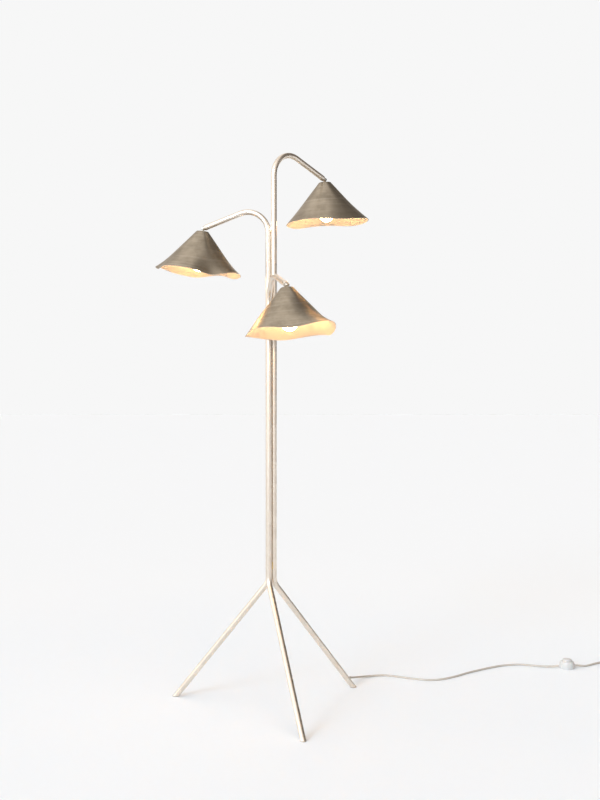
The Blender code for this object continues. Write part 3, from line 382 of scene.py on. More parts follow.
def carve(item: bpy.types.Object, tools: list[bpy.types.Object], kind: Cut, crease: float = 30.0) -> None:
    """Cut tools from an object, or join them on, and remove the tools.

    Args:
        item: the object that stays.
        tools: closed objects, each used once.
        kind: whether they are cut away or joined on.
        crease: the angle in degrees above which an edge stays sharp.
    """
    for tool in tools:
        step = item.modifiers.new(tool.name, "BOOLEAN")
        step.operation = kind.value
        step.solver = "EXACT"
        step.object = tool
    bpy.context.view_layer.update()
    graph = bpy.context.evaluated_depsgraph_get()
    mesh = bpy.data.meshes.new_from_object(item.evaluated_get(graph))
    item.modifiers.clear()
    old = item.data
    item.data = mesh
    bpy.data.meshes.remove(old)
    tidy_mesh(mesh, crease)
    for tool in tools:
        bpy.data.objects.remove(tool)


# ---------------------------------------------------------------- finishes


@dataclass
class Board:
    """A material's node tree, with short ways to add to it."""

    name: str
    material: bpy.types.Material = field(init=False)
    shader: bpy.types.Node = field(init=False)

    def __post_init__(self) -> None:
        """Make the material and its Principled shader."""
        self.material = bpy.data.materials.new(self.name)
        self.material.use_nodes = True
        self.shader = self.material.node_tree.nodes["Principled BSDF"]

    def add(self, kind: str, **settings: object) -> bpy.types.Node:
        """Return a new node.

        Args:
            kind: its type.
            settings: its properties, by name.

        Returns:
            The node.
        """
        node = self.material.node_tree.nodes.new(kind)
        for key, value in settings.items():
            setattr(node, key, value)
        return node

    def wire(self, source: bpy.types.NodeSocket, target: bpy.types.NodeSocket) -> None:
        """Join an output to an input."""
        self.material.node_tree.links.new(source, target)

    def noise(self, source: bpy.types.NodeSocket, scale: tuple[float, float, float],
              detail: float, roughness: float) -> bpy.types.NodeSocket:
        """Return noise on a vector stretched by a scale.

        Args:
            source: the vector.
            scale: cycles for each unit of it, along each axis.
            detail: the number of finer octaves.
            roughness: the strength of each finer octave.

        Returns:
            The socket of the noise, from 0 to 1.
        """
        mapping = self.add("ShaderNodeMapping")
        mapping.inputs["Scale"].default_value = scale
        self.wire(source, mapping.inputs["Vector"])
        texture = self.add("ShaderNodeTexNoise")
        texture.inputs["Scale"].default_value = 1.0
        texture.inputs["Detail"].default_value = detail
        texture.inputs["Roughness"].default_value = roughness
        self.wire(mapping.outputs["Vector"], texture.inputs["Vector"])
        return texture.outputs["Fac"]

    def remap(self, source: bpy.types.NodeSocket, low: float, high: float, to_low: float,
              to_high: float) -> bpy.types.NodeSocket:
        """Return a value eased from one range to another.

        Args:
            source: the value.
            low: where the first range starts.
            high: where it ends.
            to_low: the result at low and below it.
            to_high: the result at high and above it.

        Returns:
            The socket of the result.
        """
        node = self.add("ShaderNodeMapRange", interpolation_type="SMOOTHSTEP")
        for key, value in (("From Min", low), ("From Max", high), ("To Min", to_low), ("To Max", to_high)):
            node.inputs[key].default_value = value
        self.wire(source, node.inputs["Value"])
        return node.outputs["Result"]

    def math(self, kind: str, first: bpy.types.NodeSocket,
             second: bpy.types.NodeSocket | float) -> bpy.types.NodeSocket:
        """Return the result of a Math node.

        Args:
            kind: its operation.
            first: its first value.
            second: its second value, a socket or a number.

        Returns:
            The socket of the result.
        """
        node = self.add("ShaderNodeMath", operation=kind)
        self.wire(first, node.inputs[0])
        if isinstance(second, float):
            node.inputs[1].default_value = second
        else:
            self.wire(second, node.inputs[1])
        return node.outputs[0]

    def blend(self, share: bpy.types.NodeSocket, first: bpy.types.NodeSocket | tuple,
              second: bpy.types.NodeSocket | tuple) -> bpy.types.NodeSocket:
        """Return a mix of two colours.

        Args:
            share: the share of the second, from 0 to 1.
            first: the colour at 0, a socket or three numbers.
            second: the colour at 1, a socket or three numbers.

        Returns:
            The socket of the mix.
        """
        node = self.add("ShaderNodeMix", data_type="RGBA")
        self.wire(share, node.inputs[0])
        for value, socket in ((first, node.inputs[6]), (second, node.inputs[7])):
            if isinstance(value, tuple):
                socket.default_value = (*value, 1.0)
            else:
                self.wire(value, socket)
        return node.outputs[2]

    def bump(self, height: bpy.types.NodeSocket, distance: float, strength: float) -> None:
        """Raise the shader's surface by a height.

        Args:
            height: the socket of the height, from 0 to 1.
            distance: what a height of 1 stands for.
            strength: how much of it shows.
        """
        node = self.add("ShaderNodeBump")
        node.inputs["Distance"].default_value = distance
        node.inputs["Strength"].default_value = strength
        self.wire(height, node.inputs["Height"])
        self.wire(node.outputs["Normal"], self.shader.inputs["Normal"])


@dataclass(frozen=True)
class BrushedMetal:
    """Metal with brush lines, a clouded patina, fine pits, edges rubbed bright and a pale matt lining."""

    name: str
    clean: tuple[float, float, float]
    aged: tuple[float, float, float]
    bright: tuple[float, float, float]
    roughness: tuple[float, float]
    lines: tuple[float, float, float]  # brush lines: cycles round, round and along
    patina: float = 22.0  # clouds in a metre
    patina_share: float = 0.6
    line_share: float = 0.34
    line_depth: float = 0.00003
    lining: tuple[float, float, float] = (0.56, 0.44, 0.32)

    def make(self) -> bpy.types.Material:
        """Make the finish.

        Returns:
            Its material.
        """
        board = Board(self.name)
        grain = board.add("ShaderNodeAttribute", attribute_name="grain").outputs["Vector"]
        wear = board.add("ShaderNodeAttribute", attribute_name="wear").outputs["Fac"]
        place = board.add("ShaderNodeTexCoord").outputs["Object"]
        brush = board.noise(grain, self.lines, 5.0, 0.62)
        clouds = board.noise(place, (self.patina,) * 3, 5.0, 0.58)
        pits = board.noise(place, (1400.0,) * 3, 3.0, 0.6)
        across, around, along = self.lines
        smears = board.noise(grain, (across * 0.12, around * 0.12, along * 0.5), 3.0, 0.5)
        aged_share = board.remap(clouds, 0.36, 0.68, 0.0, self.patina_share)
        colour = board.blend(aged_share, self.clean, self.aged)
        streak = board.remap(brush, 0.34, 0.66, 0.0, self.line_share)
        colour = board.blend(streak, colour, self.aged)
        smear_share = board.remap(smears, 0.46, 0.74, 0.0, 0.38)
        colour = board.blend(smear_share, colour, self.bright)
        matt = board.add("ShaderNodeAttribute", attribute_name="lining").outputs["Fac"]
        matt = board.math("MULTIPLY", matt, board.remap(clouds, 0.3, 0.7, 1.0, 0.9))
        colour = board.blend(matt, colour, self.lining)
        colour = board.blend(board.remap(wear, 0.1, 1.0, 0.0, 0.85), colour, self.bright)
        board.wire(colour, board.shader.inputs["Base Color"])
        rough = board.remap(brush, 0.3, 0.7, *self.roughness)
        rough = board.math("ADD", rough, board.remap(clouds, 0.35, 0.7, -0.04, 0.07))
        rough = board.math("ADD", rough, board.math("MULTIPLY", matt, 0.25))
        board.wire(rough, board.shader.inputs["Roughness"])
        board.wire(board.remap(matt, 0.0, 1.0, 1.0, 0.25), board.shader.inputs["Metallic"])
        height = board.math("ADD", brush, board.math("MULTIPLY", pits, 0.35))
        board.bump(height, self.line_depth, 0.7)
        return board.material


@dataclass(frozen=True)
class MouldedPlastic:
    """Moulded plastic with a faint orange-peel surface, slight flow clouds and a scuffed sheen."""

    name: str
    colour: tuple[float, float, float]
    shade: tuple[float, float, float]
    roughness: tuple[float, float]
    peel: float = 900.0
    depth: float = 0.00002
    soft: float = 0.0

    def make(self) -> bpy.types.Material:
        """Make the finish.

        Returns:
            Its material.
        """
        board = Board(self.name)
        place = board.add("ShaderNodeTexCoord").outputs["Object"]
        flow = board.noise(place, (60.0,) * 3, 4.0, 0.55)
        peel = board.noise(place, (self.peel,) * 3, 2.0, 0.5)
        scuff = board.noise(place, (240.0, 240.0, 90.0), 5.0, 0.65)
        colour = board.blend(board.remap(flow, 0.3, 0.75, 0.0, 0.7), self.colour, self.shade)
        board.wire(colour, board.shader.inputs["Base Color"])
        board.wire(board.remap(scuff, 0.32, 0.7, *self.roughness), board.shader.inputs["Roughness"])
        board.shader.inputs["Subsurface Weight"].default_value = self.soft
        board.shader.inputs["Subsurface Scale"].default_value = 0.002
        board.bump(board.math("ADD", peel, board.math("MULTIPLY", scuff, 0.4)), self.depth, 0.6)
        return board.material


@dataclass(frozen=True)
class CordSheath:
    """Round flexible sheath with fine drawn lines along it and the faint rope of the cores under it."""

    name: str
    colour: tuple[float, float, float]
    shade: tuple[float, float, float]

    def make(self) -> bpy.types.Material:
        """Make the finish.

        Returns:
            Its material.
        """
        board = Board(self.name)
        grain = board.add("ShaderNodeAttribute", attribute_name="grain").outputs["Vector"]
        place = board.add("ShaderNodeTexCoord").outputs["Object"]
        drawn = board.noise(grain, (26.0, 26.0, 14.0), 4.0, 0.6)
        dust = board.noise(place, (150.0,) * 3, 4.0, 0.6)
        colour = board.blend(board.remap(dust, 0.35, 0.7, 0.0, 0.6), self.colour, self.shade)
        board.wire(colour, board.shader.inputs["Base Color"])
        board.wire(board.remap(drawn, 0.3, 0.7, 0.42, 0.62), board.shader.inputs["Roughness"])
        board.bump(board.math("ADD", drawn, board.math("MULTIPLY", dust, 0.3)), 0.00006, 0.6)
        return board.material


@dataclass(frozen=True)
class OpalGlass:
    """Lit opal glass: its coating glows evenly, a little less towards the neck."""

    name: str
    colour: tuple[float, float, float]
    glow: tuple[float, float, float]
    strength: float

    def make(self) -> bpy.types.Material:
        """Make the finish.

        Returns:
            Its material.
        """
        board = Board(self.name)
        grain = board.add("ShaderNodeAttribute", attribute_name="grain").outputs["Vector"]
        place = board.add("ShaderNodeTexCoord").outputs["Object"]
        along = board.add("ShaderNodeSeparateXYZ")
        board.wire(grain, along.inputs["Vector"])
        coating = board.noise(place, (320.0,) * 3, 3.0, 0.5)
        fade = board.remap(along.outputs["Z"], 0.002, 0.03, 0.35, 1.0)
        uneven = board.remap(coating, 0.3, 0.7, 0.94, 1.06)
        light = board.math("MULTIPLY", board.math("MULTIPLY", fade, uneven), float(self.strength))
        board.wire(light, board.shader.inputs["Emission Strength"])
        board.shader.inputs["Emission Color"].default_value = (*self.glow, 1.0)
        board.shader.inputs["Base Color"].default_value = (*self.colour, 1.0)
        board.wire(board.remap(coating, 0.3, 0.7, 0.24, 0.34), board.shader.inputs["Roughness"])
        board.bump(coating, 0.00002, 0.4)
        return board.material


class Slot(Enum):
    """The record's material slots."""

    TUBE = "tube_metal"
    SHADE = "shade_metal"
    KNUCKLE = "knuckle_metal"
    BRASS = "brass"
    STEEL = "steel"
    HOLDER = "holder_plastic"
    GLASS = "opal_glass"
    LEAD = "lead_sheath"
    CORD = "cord_sheath"
    SWITCH = "switch_plastic"
    GLIDE = "glide_plastic"
    TIE = "tie_plastic"


FINISHES = {
    Slot.TUBE: BrushedMetal("satin_nickel_tube", (0.85, 0.765, 0.67), (0.62, 0.53, 0.44), (0.93, 0.86, 0.77),
                            (0.25, 0.34), (9.0, 9.0, 8.0), 30.0, 0.4, 0.25, 0.000004),
    Slot.SHADE: BrushedMetal("aged_nickel_shade", (0.40, 0.345, 0.27), (0.23, 0.19, 0.14), (0.58, 0.51, 0.42),
                             (0.34, 0.43), (2.4, 2.4, 190.0), 30.0, 0.55, 0.12, 0.00001),
    Slot.KNUCKLE: BrushedMetal("turned_nickel", (0.78, 0.70, 0.60), (0.46, 0.39, 0.31), (0.92, 0.86, 0.78),
                               (0.16, 0.28), (3.0, 3.0, 1500.0), 60.0, 0.5),
    Slot.BRASS: BrushedMetal("satin_brass", (0.72, 0.52, 0.25), (0.42, 0.27, 0.10), (0.88, 0.72, 0.42),
                             (0.22, 0.36), (4.0, 4.0, 900.0), 70.0, 0.6),
    Slot.STEEL: BrushedMetal("screw_steel", (0.62, 0.60, 0.57), (0.33, 0.31, 0.29), (0.85, 0.84, 0.82),
                             (0.22, 0.38), (6.0, 6.0, 1200.0), 90.0, 0.5),
    Slot.HOLDER: MouldedPlastic("holder_plastic", (0.78, 0.75, 0.69), (0.68, 0.64, 0.58), (0.40, 0.55)),
    Slot.GLASS: OpalGlass("opal_glass_lit", (1.0, 0.94, 0.84), (1.0, 0.62, 0.29), 58.0),
    Slot.LEAD: CordSheath("lead_sheath", (0.74, 0.72, 0.67), (0.62, 0.60, 0.55)),
    Slot.CORD: CordSheath("cord_sheath", (0.54, 0.48, 0.42), (0.44, 0.38, 0.32)),
    Slot.SWITCH: MouldedPlastic("switch_plastic", (0.60, 0.58, 0.555), (0.53, 0.51, 0.48), (0.30, 0.46),
                                soft=0.08),
    Slot.GLIDE: MouldedPlastic("glide_plastic", (0.42, 0.37, 0.31), (0.34, 0.30, 0.25), (0.45, 0.6)),
    Slot.TIE: MouldedPlastic("tie_plastic", (0.075, 0.07, 0.066), (0.05, 0.048, 0.045), (0.35, 0.5)),
}


@dataclass
class Workshop:
    """Makes the materials once and fits finished pieces to the frame."""

    frame: dict
    materials: dict[Slot, bpy.types.Material] = field(init=False)

    def __post_init__(self) -> None:
        """Make every material."""
        self.materials = {slot: finish.make() for slot, finish in FINISHES.items()}

    def fit(self, item: bpy.types.Object, body: str, slot: Slot, *nodes: str) -> bpy.types.Object:
        """Dress a finished piece, let it ride on a body and stand for CAD nodes.

        Args:
            item: the piece.
            body: the CAD body that it moves with.
            slot: its finish.
            nodes: the CAD nodes that it replaces.

        Returns:
            The piece.
        """
        item.data.materials.clear()
        item.data.materials.append(self.materials[slot])
        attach(item, body)
        if nodes:
            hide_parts(*nodes)
        LOG.info("%s rides on %s", item.name, body)
        return item

    def dress_frame(self) -> None:
        """Give every CAD node its slot's finish, for the ones that stay in view."""
        for part in self.frame["record"]["subparts"]:
            node = self.frame["nodes"][part["node"]]
            node.data.materials.clear()
            node.data.materials.append(self.materials[Slot(part["material_slot"])])

    def centroid(self, node: str) -> Array:
        """Return the mean of a CAD node's vertices, which is on the axis of a turned or regular piece.

        Args:
            node: the node's name.

        Returns:
            The mean place.
        """
        data = self.frame["nodes"][node].data
        spots = np.empty(len(data.vertices) * 3, np.float32)
        data.vertices.foreach_get("co", spots)
        return np.unique(spots.reshape(-1, 3).round(6), axis=0).mean(axis=0).astype(float)


def box_centre(node: str) -> Array:
    """Return the middle of a CAD node's box."""
    low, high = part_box(node)
    return (np.array(low) + np.array(high)) / 2


# ---------------------------------------------------------------- tubes

GAP = 0.0003


@dataclass(frozen=True)
class Stem:
    """One bent tube: a splayed leg, an upright post and an arm. Angles are in degrees."""

    name: str
    post_angle: float
    leg_azimuth: float
    leg_reach: float
    arm_azimuth: float
    drop: float
    waves: tuple[tuple[int, float, float], ...]  # of its shade's rim: (lobes, height, phase)

    tube_radius: float = 0.008
    wall: float = 0.0012
    spacing: float = 0.017
    hub_height: float = 0.351
    hub_bend: float = 0.045
    arm_bend: float = 0.065
    pivot_out: float = 0.009
    sole: float = 0.0017

    @property
    def body(self) -> str:
        """The CAD body of this stem's head."""
        return f"head_{self.name}"

    @property
    def out(self) -> Array:
        """Unit vector along the arm."""
        return heading(self.arm_azimuth, -self.drop)

    def base(self, pole: Array) -> Array:
        """Return where the post's axis meets the floor."""
        offset = self.spacing / (2 * np.cos(np.radians(30)))
        return pole + offset * heading(self.post_angle)

    def foot(self, pole: Array) -> Array:
        """Return where the leg's axis meets the floor."""
        return self.base(pole) + self.leg_reach * heading(self.leg_azimuth)

    def hub(self, pole: Array) -> Array:
        """Return where the lines of leg and post cross."""
        return self.base(pole) + np.array((0, 0, self.hub_height))

    def leg(self, pole: Array) -> Array:
        """Return the unit vector up the leg."""
        return unit(self.hub(pole) - self.foot(pole))

    def path(self, pole: Array, pivot: Array) -> Array:
        """Return the centre line from the foot to the arm's end, with the two bends.

        The arm's corner is where the line back from the pivot crosses the post's axis.

        Args:
            pole: where the axis between the posts meets the floor.
            pivot: the middle of the knuckle that the arm carries.

        Returns:
            The line's points, at most 12 mm apart.
        """
        end = pivot - self.out * self.pivot_out
        base = self.base(pole)
        back = np.linalg.norm((end - base)[:2]) / np.linalg.norm(self.out[:2])
        corner = np.array((base[0], base[1], end[2] - self.out[2] * back))
        corners = np.array((self.foot(pole), self.hub(pole), corner, end))
        line = rounded(corners, (self.hub_bend, self.arm_bend), 28)
        reach = run_length(line)
        wanted = np.unique(np.concatenate((reach, np.arange(0.0, reach[-1], 0.012))).round(5))
        return np.stack([np.interp(wanted, reach, line[:, axis]) for axis in range(3)], axis=1)


STEMS = (
    Stem("tall", 8, 40.4, 0.309, 43.5, 21.5,
         ((2, 0.0025, 76), (3, 0.005, -13), (4, 0.002, 167), (5, 0.001, 100))),
    Stem("left", 128, 160.7, 0.291, 162.5, 18.0, ((2, 0.0035, 67), (4, 0.0085, -23), (7, 0.0025, -137))),
    Stem("front", -112, -72.1, 0.311, -74.8, 16.0, ((2, 0.0045, 51), (3, 0.004, -77), (4, 0.0075, 159))),
)


@dataclass
class Places:
    """Where things are in the frame.

    pole is the foot of the axis between the posts. For each stem, pivot is its knuckle's middle, hinge the
    axis that its head tilts on, and head the matrix of its head's frame: Y along the hinge, Z up the shade.
    """

    shop: Workshop
    pole: Array = field(init=False)
    pivot: dict[str, Array] = field(init=False, default_factory=dict)
    hinge: dict[str, Array] = field(init=False, default_factory=dict)
    head: dict[str, Array] = field(init=False, default_factory=dict)

    def __post_init__(self) -> None:
        """Read the joints and the turned pieces that stand on the axes."""
        middle = self.shop.centroid("braze_top")
        self.pole = np.array((middle[0], middle[1], 0.0))
        joints = {joint["child"]: joint for joint in self.shop.frame["joints"]}
        for stem in STEMS:
            joint = joints[stem.body]
            pivot, hinge = np.array(joint["pos_m"]), unit(np.array(joint["axis"]))
            up = unit(pivot - self.shop.centroid(f"lampholder_{stem.name}"))
            self.pivot[stem.name] = pivot
            self.hinge[stem.name] = hinge
            self.head[stem.name] = placed(pivot, np.cross(hinge, up), hinge, up)

    def knuckle(self, stem: Stem) -> Array:
        """Return the knuckle's frame: X out along the arm, Y the hinge axis."""
        hinge = self.hinge[stem.name]
        return placed(self.pivot[stem.name], stem.out, hinge, np.cross(stem.out, hinge))


@dataclass
class Tubes:
    """The three bent tubes with their glides, and the braze between the posts."""

    shop: Workshop
    places: Places
    sides: int = 48
    lip: float = 0.00035
    wear_depth: float = 0.0012
    glide_length: float = 0.012
    glide_edge: float = 0.0003
    groove_angle: float = 38.0
    groove_depth: float = 0.0007
    ripple: float = 0.00012

    def tube(self, stem: Stem) -> None:
        """Make one hollow tube: its outer face, then its bore back, joined by rounded lips.

        The rings in the foot are slid along the leg to the level of the glide's flange.

        Args:
            stem: the tube's shape.
        """
        path = stem.path(self.places.pole, self.places.pivot[stem.name])
        across = np.cross(heading(stem.leg_azimuth), (0, 0, 1))

        def skin(inset: float) -> Array:
            """Return rings along the whole path, at an inset from the outer face."""
            return sweep(path, stem.tube_radius - inset, across, self.sides, capped=False).points

        outer, bore = skin(0.0), skin(stem.wall)[::-1]
        back = stem.out * self.lip
        lips = (outer[-1:] - back, skin(self.lip * 0.3)[-1:] - back * 0.3, skin(self.lip)[-1:])
        points = np.concatenate((outer[:-1], *lips, bore))
        up = stem.leg(self.places.pole)
        for row in (0, -1):
            points[row] += up * ((stem.sole + GAP - points[row][:, 2:]) / up[2])
        reach = run_length(path)
        along = np.concatenate((reach, reach[-1:], reach[-1:], reach[::-1]))
        angle = np.linspace(0, TAU, self.sides, endpoint=False)
        grain = np.stack(np.broadcast_arrays(np.cos(angle)[None], np.sin(angle)[None], along[:, None]), axis=-1)
        ends = np.minimum(along, reach[-1] - along)
        wear = np.broadcast_to(np.exp(-ends / self.wear_depth)[:, None], points.shape[:2])
        item = build_mesh(f"tube_{stem.name}", [Patch(points, grain, wear, loop=True)], crease=35)
        self.shop.fit(item, "stand", Slot.TUBE, f"stem_{stem.name}")

    def glide(self, stem: Stem) -> None:
        """Make the plug in the foot: level rings slid along the leg, from the sole up into the bore.

        Args:
            stem: the tube that it closes.
        """
        foot, up = stem.foot(self.places.pole), stem.leg(self.places.pole)
        side = unit(np.cross(up, (0, 0, 1)))
        other = np.cross(up, side)
        angle = np.linspace(0, TAU, self.sides, endpoint=False)[:, None]
        circle = np.cos(angle) * side + np.sin(angle) * other
        bore = stem.tube_radius - stem.wall - GAP
        rim, edge = stem.tube_radius, self.glide_edge
        steps = ((0.0, 0.0), (rim - 0.0004, 0.0), (rim, edge), (rim, stem.sole - 0.0001), (bore, stem.sole),
                 (bore, self.glide_length), (0.0, self.glide_length))
        rings = [foot + radius * circle for radius, _ in steps]
        rings = [ring + up * ((level - ring[:, 2:]) / up[2]) for ring, (_, level) in zip(rings, steps)]
        points = np.stack(rings)
        grain = np.stack(np.broadcast_arrays(np.cos(angle[:, 0])[None], np.sin(angle[:, 0])[None],
                                             np.array([level for _, level in steps])[:, None]), axis=-1)
        item = build_mesh(f"foot_glide_{stem.name}", [Patch(points, grain)])
        self.shop.fit(item, "stand", Slot.GLIDE, f"glide_{stem.name}")

    def braze(self, name: str) -> None:
        """Make one braze fillet: three arcs on the tubes joined by hollow grooves.

        Up its height the outline is scaled by 1 + ripple sin, and drawn in towards both ends.

        Args:
            name: the fillet's CAD node.
        """
        pole = self.places.pole
        stem = STEMS[0]
        offset = np.linalg.norm(stem.base(pole) - pole)
        touch = stem.tube_radius + 0.00012
        spread = np.radians(30 + self.groove_angle)
        parts = []
        for post in STEMS:
            facing = np.radians(post.post_angle + 180)
            angle = facing + np.linspace(spread, -spread, 17)
            centre = offset * heading(post.post_angle)[:2]
            parts.append(centre + touch * np.stack((np.cos(angle), np.sin(angle)), axis=1))
        arcs = []
        for part, following in zip(parts, parts[1:] + parts[:1]):
            chord = following[0] - part[-1]
            middle = (following[0] + part[-1]) / 2
            bulge = np.sin(np.linspace(0, np.pi, 9))[1:-1, None] * -self.groove_depth * unit(middle)
            arcs += [part, part[-1] + np.linspace(0, 1, 9)[1:-1, None] * chord + bulge]
        outline = np.concatenate(arcs)
        low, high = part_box(name)
        share = np.linspace(0, 1, 40)
        levels = low[2] + share * (high[2] - low[2])
        ends = np.minimum(share, 1 - share) * 2
        size = 1 - 0.10 * np.exp(-ends * 14) + self.ripple / offset * np.sin(share * TAU * 9)
        item = build_mesh(f"{name}_fillet", [prism(outline, levels, size)], placed(pole, *np.eye(3)))
        self.shop.fit(item, "stand", Slot.BRASS, name)

    def make(self) -> None:
        """Make all the tubes."""
        for stem in STEMS:
            self.tube(stem)
            self.glide(stem)
        for name in ("braze_hub", "braze_top"):
            self.braze(name)


# ---------------------------------------------------------------- knuckles


@dataclass
class Knuckle:
    """The ball-nosed fork in an arm's end, its screw and nut, and the tongue that carries the shade."""

    shop: Workshop
    places: Places
    stem: Stem
    shoulder_radius: float = 0.0076
    shoulder: float = 0.0017
    nose_radius: float = 0.0058
    slot_width: float = 0.0052
    flat: float = 0.0049
    plug: float = 0.012
    screw_radius: float = 0.002
    head_radius: float = 0.0035
    head_height: float = 0.0016
    eye_radius: float = 0.005
    neck: float = 0.0026
    flange_radius: float = 0.007
    flange: float = 0.0009
    nipple_radius: float = 0.0047
    nipple_length: float = 0.0145
    below_pivot: float = 0.0075

    def fork(self) -> None:
        """Make the fork: a turned plug, collar and ball nose, with slot and spindle seats cut away."""
        seat = -self.stem.pivot_out + GAP
        bore = self.stem.tube_radius - self.stem.wall - GAP
        collar = seat + self.shoulder
        nose = np.radians(np.linspace(0, 90, 14))[:, None]
        ball = np.hstack((self.nose_radius * np.cos(nose), self.nose_radius * np.sin(nose)))
        body = rounded(((0, seat - self.plug), (bore, seat - self.plug), (bore, seat),
                        (self.shoulder_radius, seat), (self.shoulder_radius, collar),
                        (self.nose_radius, collar), (self.nose_radius, 0)),
                       (0.0004, 0.0, 0.00035, 0.0005, 0.0003), 4)
        along_x = turned("Y", 90)
        item = build_mesh(f"fork_{self.stem.name}", [revolve(np.vstack((body, ball[1:])), 48)], along_x)
        far = 2 * self.nose_radius
        half = self.slot_width / 2
        root = collar + GAP
        square = rounded_loop(((root, -half), (far, -half), (far, half), (root, half)),
                              (0.0008, 0, 0, 0.0008))
        slot = build_mesh("slot_tool", [prism(square, np.array((-far, far)))])
        hole, seat_radius = self.screw_radius + GAP, self.head_radius + 2 * GAP
        spindle = ((0, -far), (seat_radius, -far), (seat_radius, -self.flat), (hole, -self.flat),
                   (hole, self.flat), (seat_radius, self.flat), (seat_radius, far), (0, far))
        seats = build_mesh("seat_tool", [revolve(spindle, 40)], turned("X", -90))
        carve(item, [slot, seats], Cut.AWAY)
        self.shift(item, self.places.knuckle(self.stem))
        self.shop.fit(item, "stand", Slot.KNUCKLE, f"knuckle_fork_{self.stem.name}")

    def fasteners(self) -> None:
        """Make the slotted screw and the hexagonal nut along the hinge axis."""
        seat = self.flat + GAP / 2
        top = seat + self.head_height
        end = seat + self.head_height + 2 * GAP
        shank = self.screw_radius
        threads = np.arange(-end + 0.0005, -self.flat + 0.0002, 0.0002)
        ridged = np.stack((shank - 0.0001 * (np.arange(len(threads)) % 2), threads), axis=1)
        head = rounded(((shank, self.flat), (shank, seat), (self.head_radius, seat), (self.head_radius, top),
                        (0, top + 0.0002)), (0, 0.0002, 0.0007), 5)
        profile = np.vstack(((0, -end), (shank - 0.0003, -end), ridged, head))
        along_y = turned("X", -90)
        screw = build_mesh(f"screw_{self.stem.name}", [revolve(profile, 40)], along_y)
        half = 0.00045
        square = np.array(((-0.006, -half), (0.006, -half), (0.006, half), (-0.006, half)))
        slot = build_mesh("slot_tool", [prism(square, np.array((top - 0.0008, top + 0.002)))], along_y)
        carve(screw, [slot], Cut.AWAY)
        self.shift(screw, self.places.knuckle(self.stem))
        self.shop.fit(screw, "stand", Slot.STEEL, f"pivot_screw_{self.stem.name}")
        corner = np.radians(np.arange(0, 360, 60))
        hexagon = np.stack((np.cos(corner), np.sin(corner)), axis=1) * self.head_radius
        levels = -seat - self.head_height * np.array((1.0, 0.9, 0.1, 0.0))
        nut_body = prism(rounded_loop(hexagon, 0.0003, 3), levels, (0.93, 1, 1, 0.93))
        nut = build_mesh(f"nut_{self.stem.name}", [nut_body], along_y)
        hole = shank + GAP
        bore = build_mesh("bore_tool", [revolve(((0, -0.02), (hole, -0.02), (hole, 0), (0, 0)), 32)], along_y)
        carve(nut, [bore], Cut.AWAY)
        self.shift(nut, self.places.knuckle(self.stem))
        self.shop.fit(nut, "stand", Slot.STEEL, f"pivot_nut_{self.stem.name}")

    def tongue(self) -> None:
        """Make the eye, its flange and the threaded nipple under it, as one turned and milled piece."""
        low = -self.below_pivot + GAP
        end = low - self.nipple_length
        pitch = 0.0006
        ridges = np.arange(end + 0.0008, low - 0.0012, pitch / 2)
        ridged = np.stack((self.nipple_radius - 0.00016 * (np.arange(len(ridges)) % 2), ridges), axis=1)
        bore = 0.0022
        lower = np.vstack(((bore, end), (self.nipple_radius - 0.0004, end), ridged))
        upper = rounded(((self.nipple_radius - 0.0002, low - 0.0008), (self.nipple_radius - 0.0002, low),
                         (self.flange_radius, low), (self.flange_radius, low + self.flange),
                         (bore, low + self.flange)), (0, 0.0003, 0.0003), 4)
        item = build_mesh(f"tongue_{self.stem.name}", [revolve(np.vstack((lower, upper)), 48, closed=True)])
        neck = np.arcsin(self.neck / self.eye_radius)
        angle = np.linspace(-np.pi + neck, np.pi - neck, 40)[:, None]
        arc = self.eye_radius * np.hstack((np.sin(angle), np.cos(angle)))
        foot = low + self.flange / 2
        outline = np.vstack(((-self.neck - 0.0004, foot), arc, (self.neck + 0.0004, foot)))
        half = self.slot_width / 2 - GAP
        levels = np.array((-half, -half + 0.0003, half - 0.0003, half))
        eye = build_mesh("eye_tool", [prism(outline, levels, np.array((0.95, 1, 1, 0.95)))], turned("X", 90))
        carve(item, [eye], Cut.ON)
        hole = self.screw_radius + GAP
        pin = build_mesh("pin_tool", [revolve(((0, -0.01), (hole, -0.01), (hole, 0.01), (0, 0.01)), 32)],
                         turned("X", 90))
        carve(item, [pin], Cut.AWAY)
        self.shift(item, self.places.head[self.stem.name])
        self.shop.fit(item, self.stem.body, Slot.KNUCKLE, f"knuckle_tongue_{self.stem.name}")

    @staticmethod
    def shift(item: bpy.types.Object, matrix: Array) -> None:
        """Carry an object's mesh by a matrix."""
        item.data.transform(Matrix(matrix.tolist()))

    def make(self) -> None:
        """Make the knuckle's pieces."""
        self.fork()
        self.fasteners()
        self.tongue()


# ---------------------------------------------------------------- shade and lamp


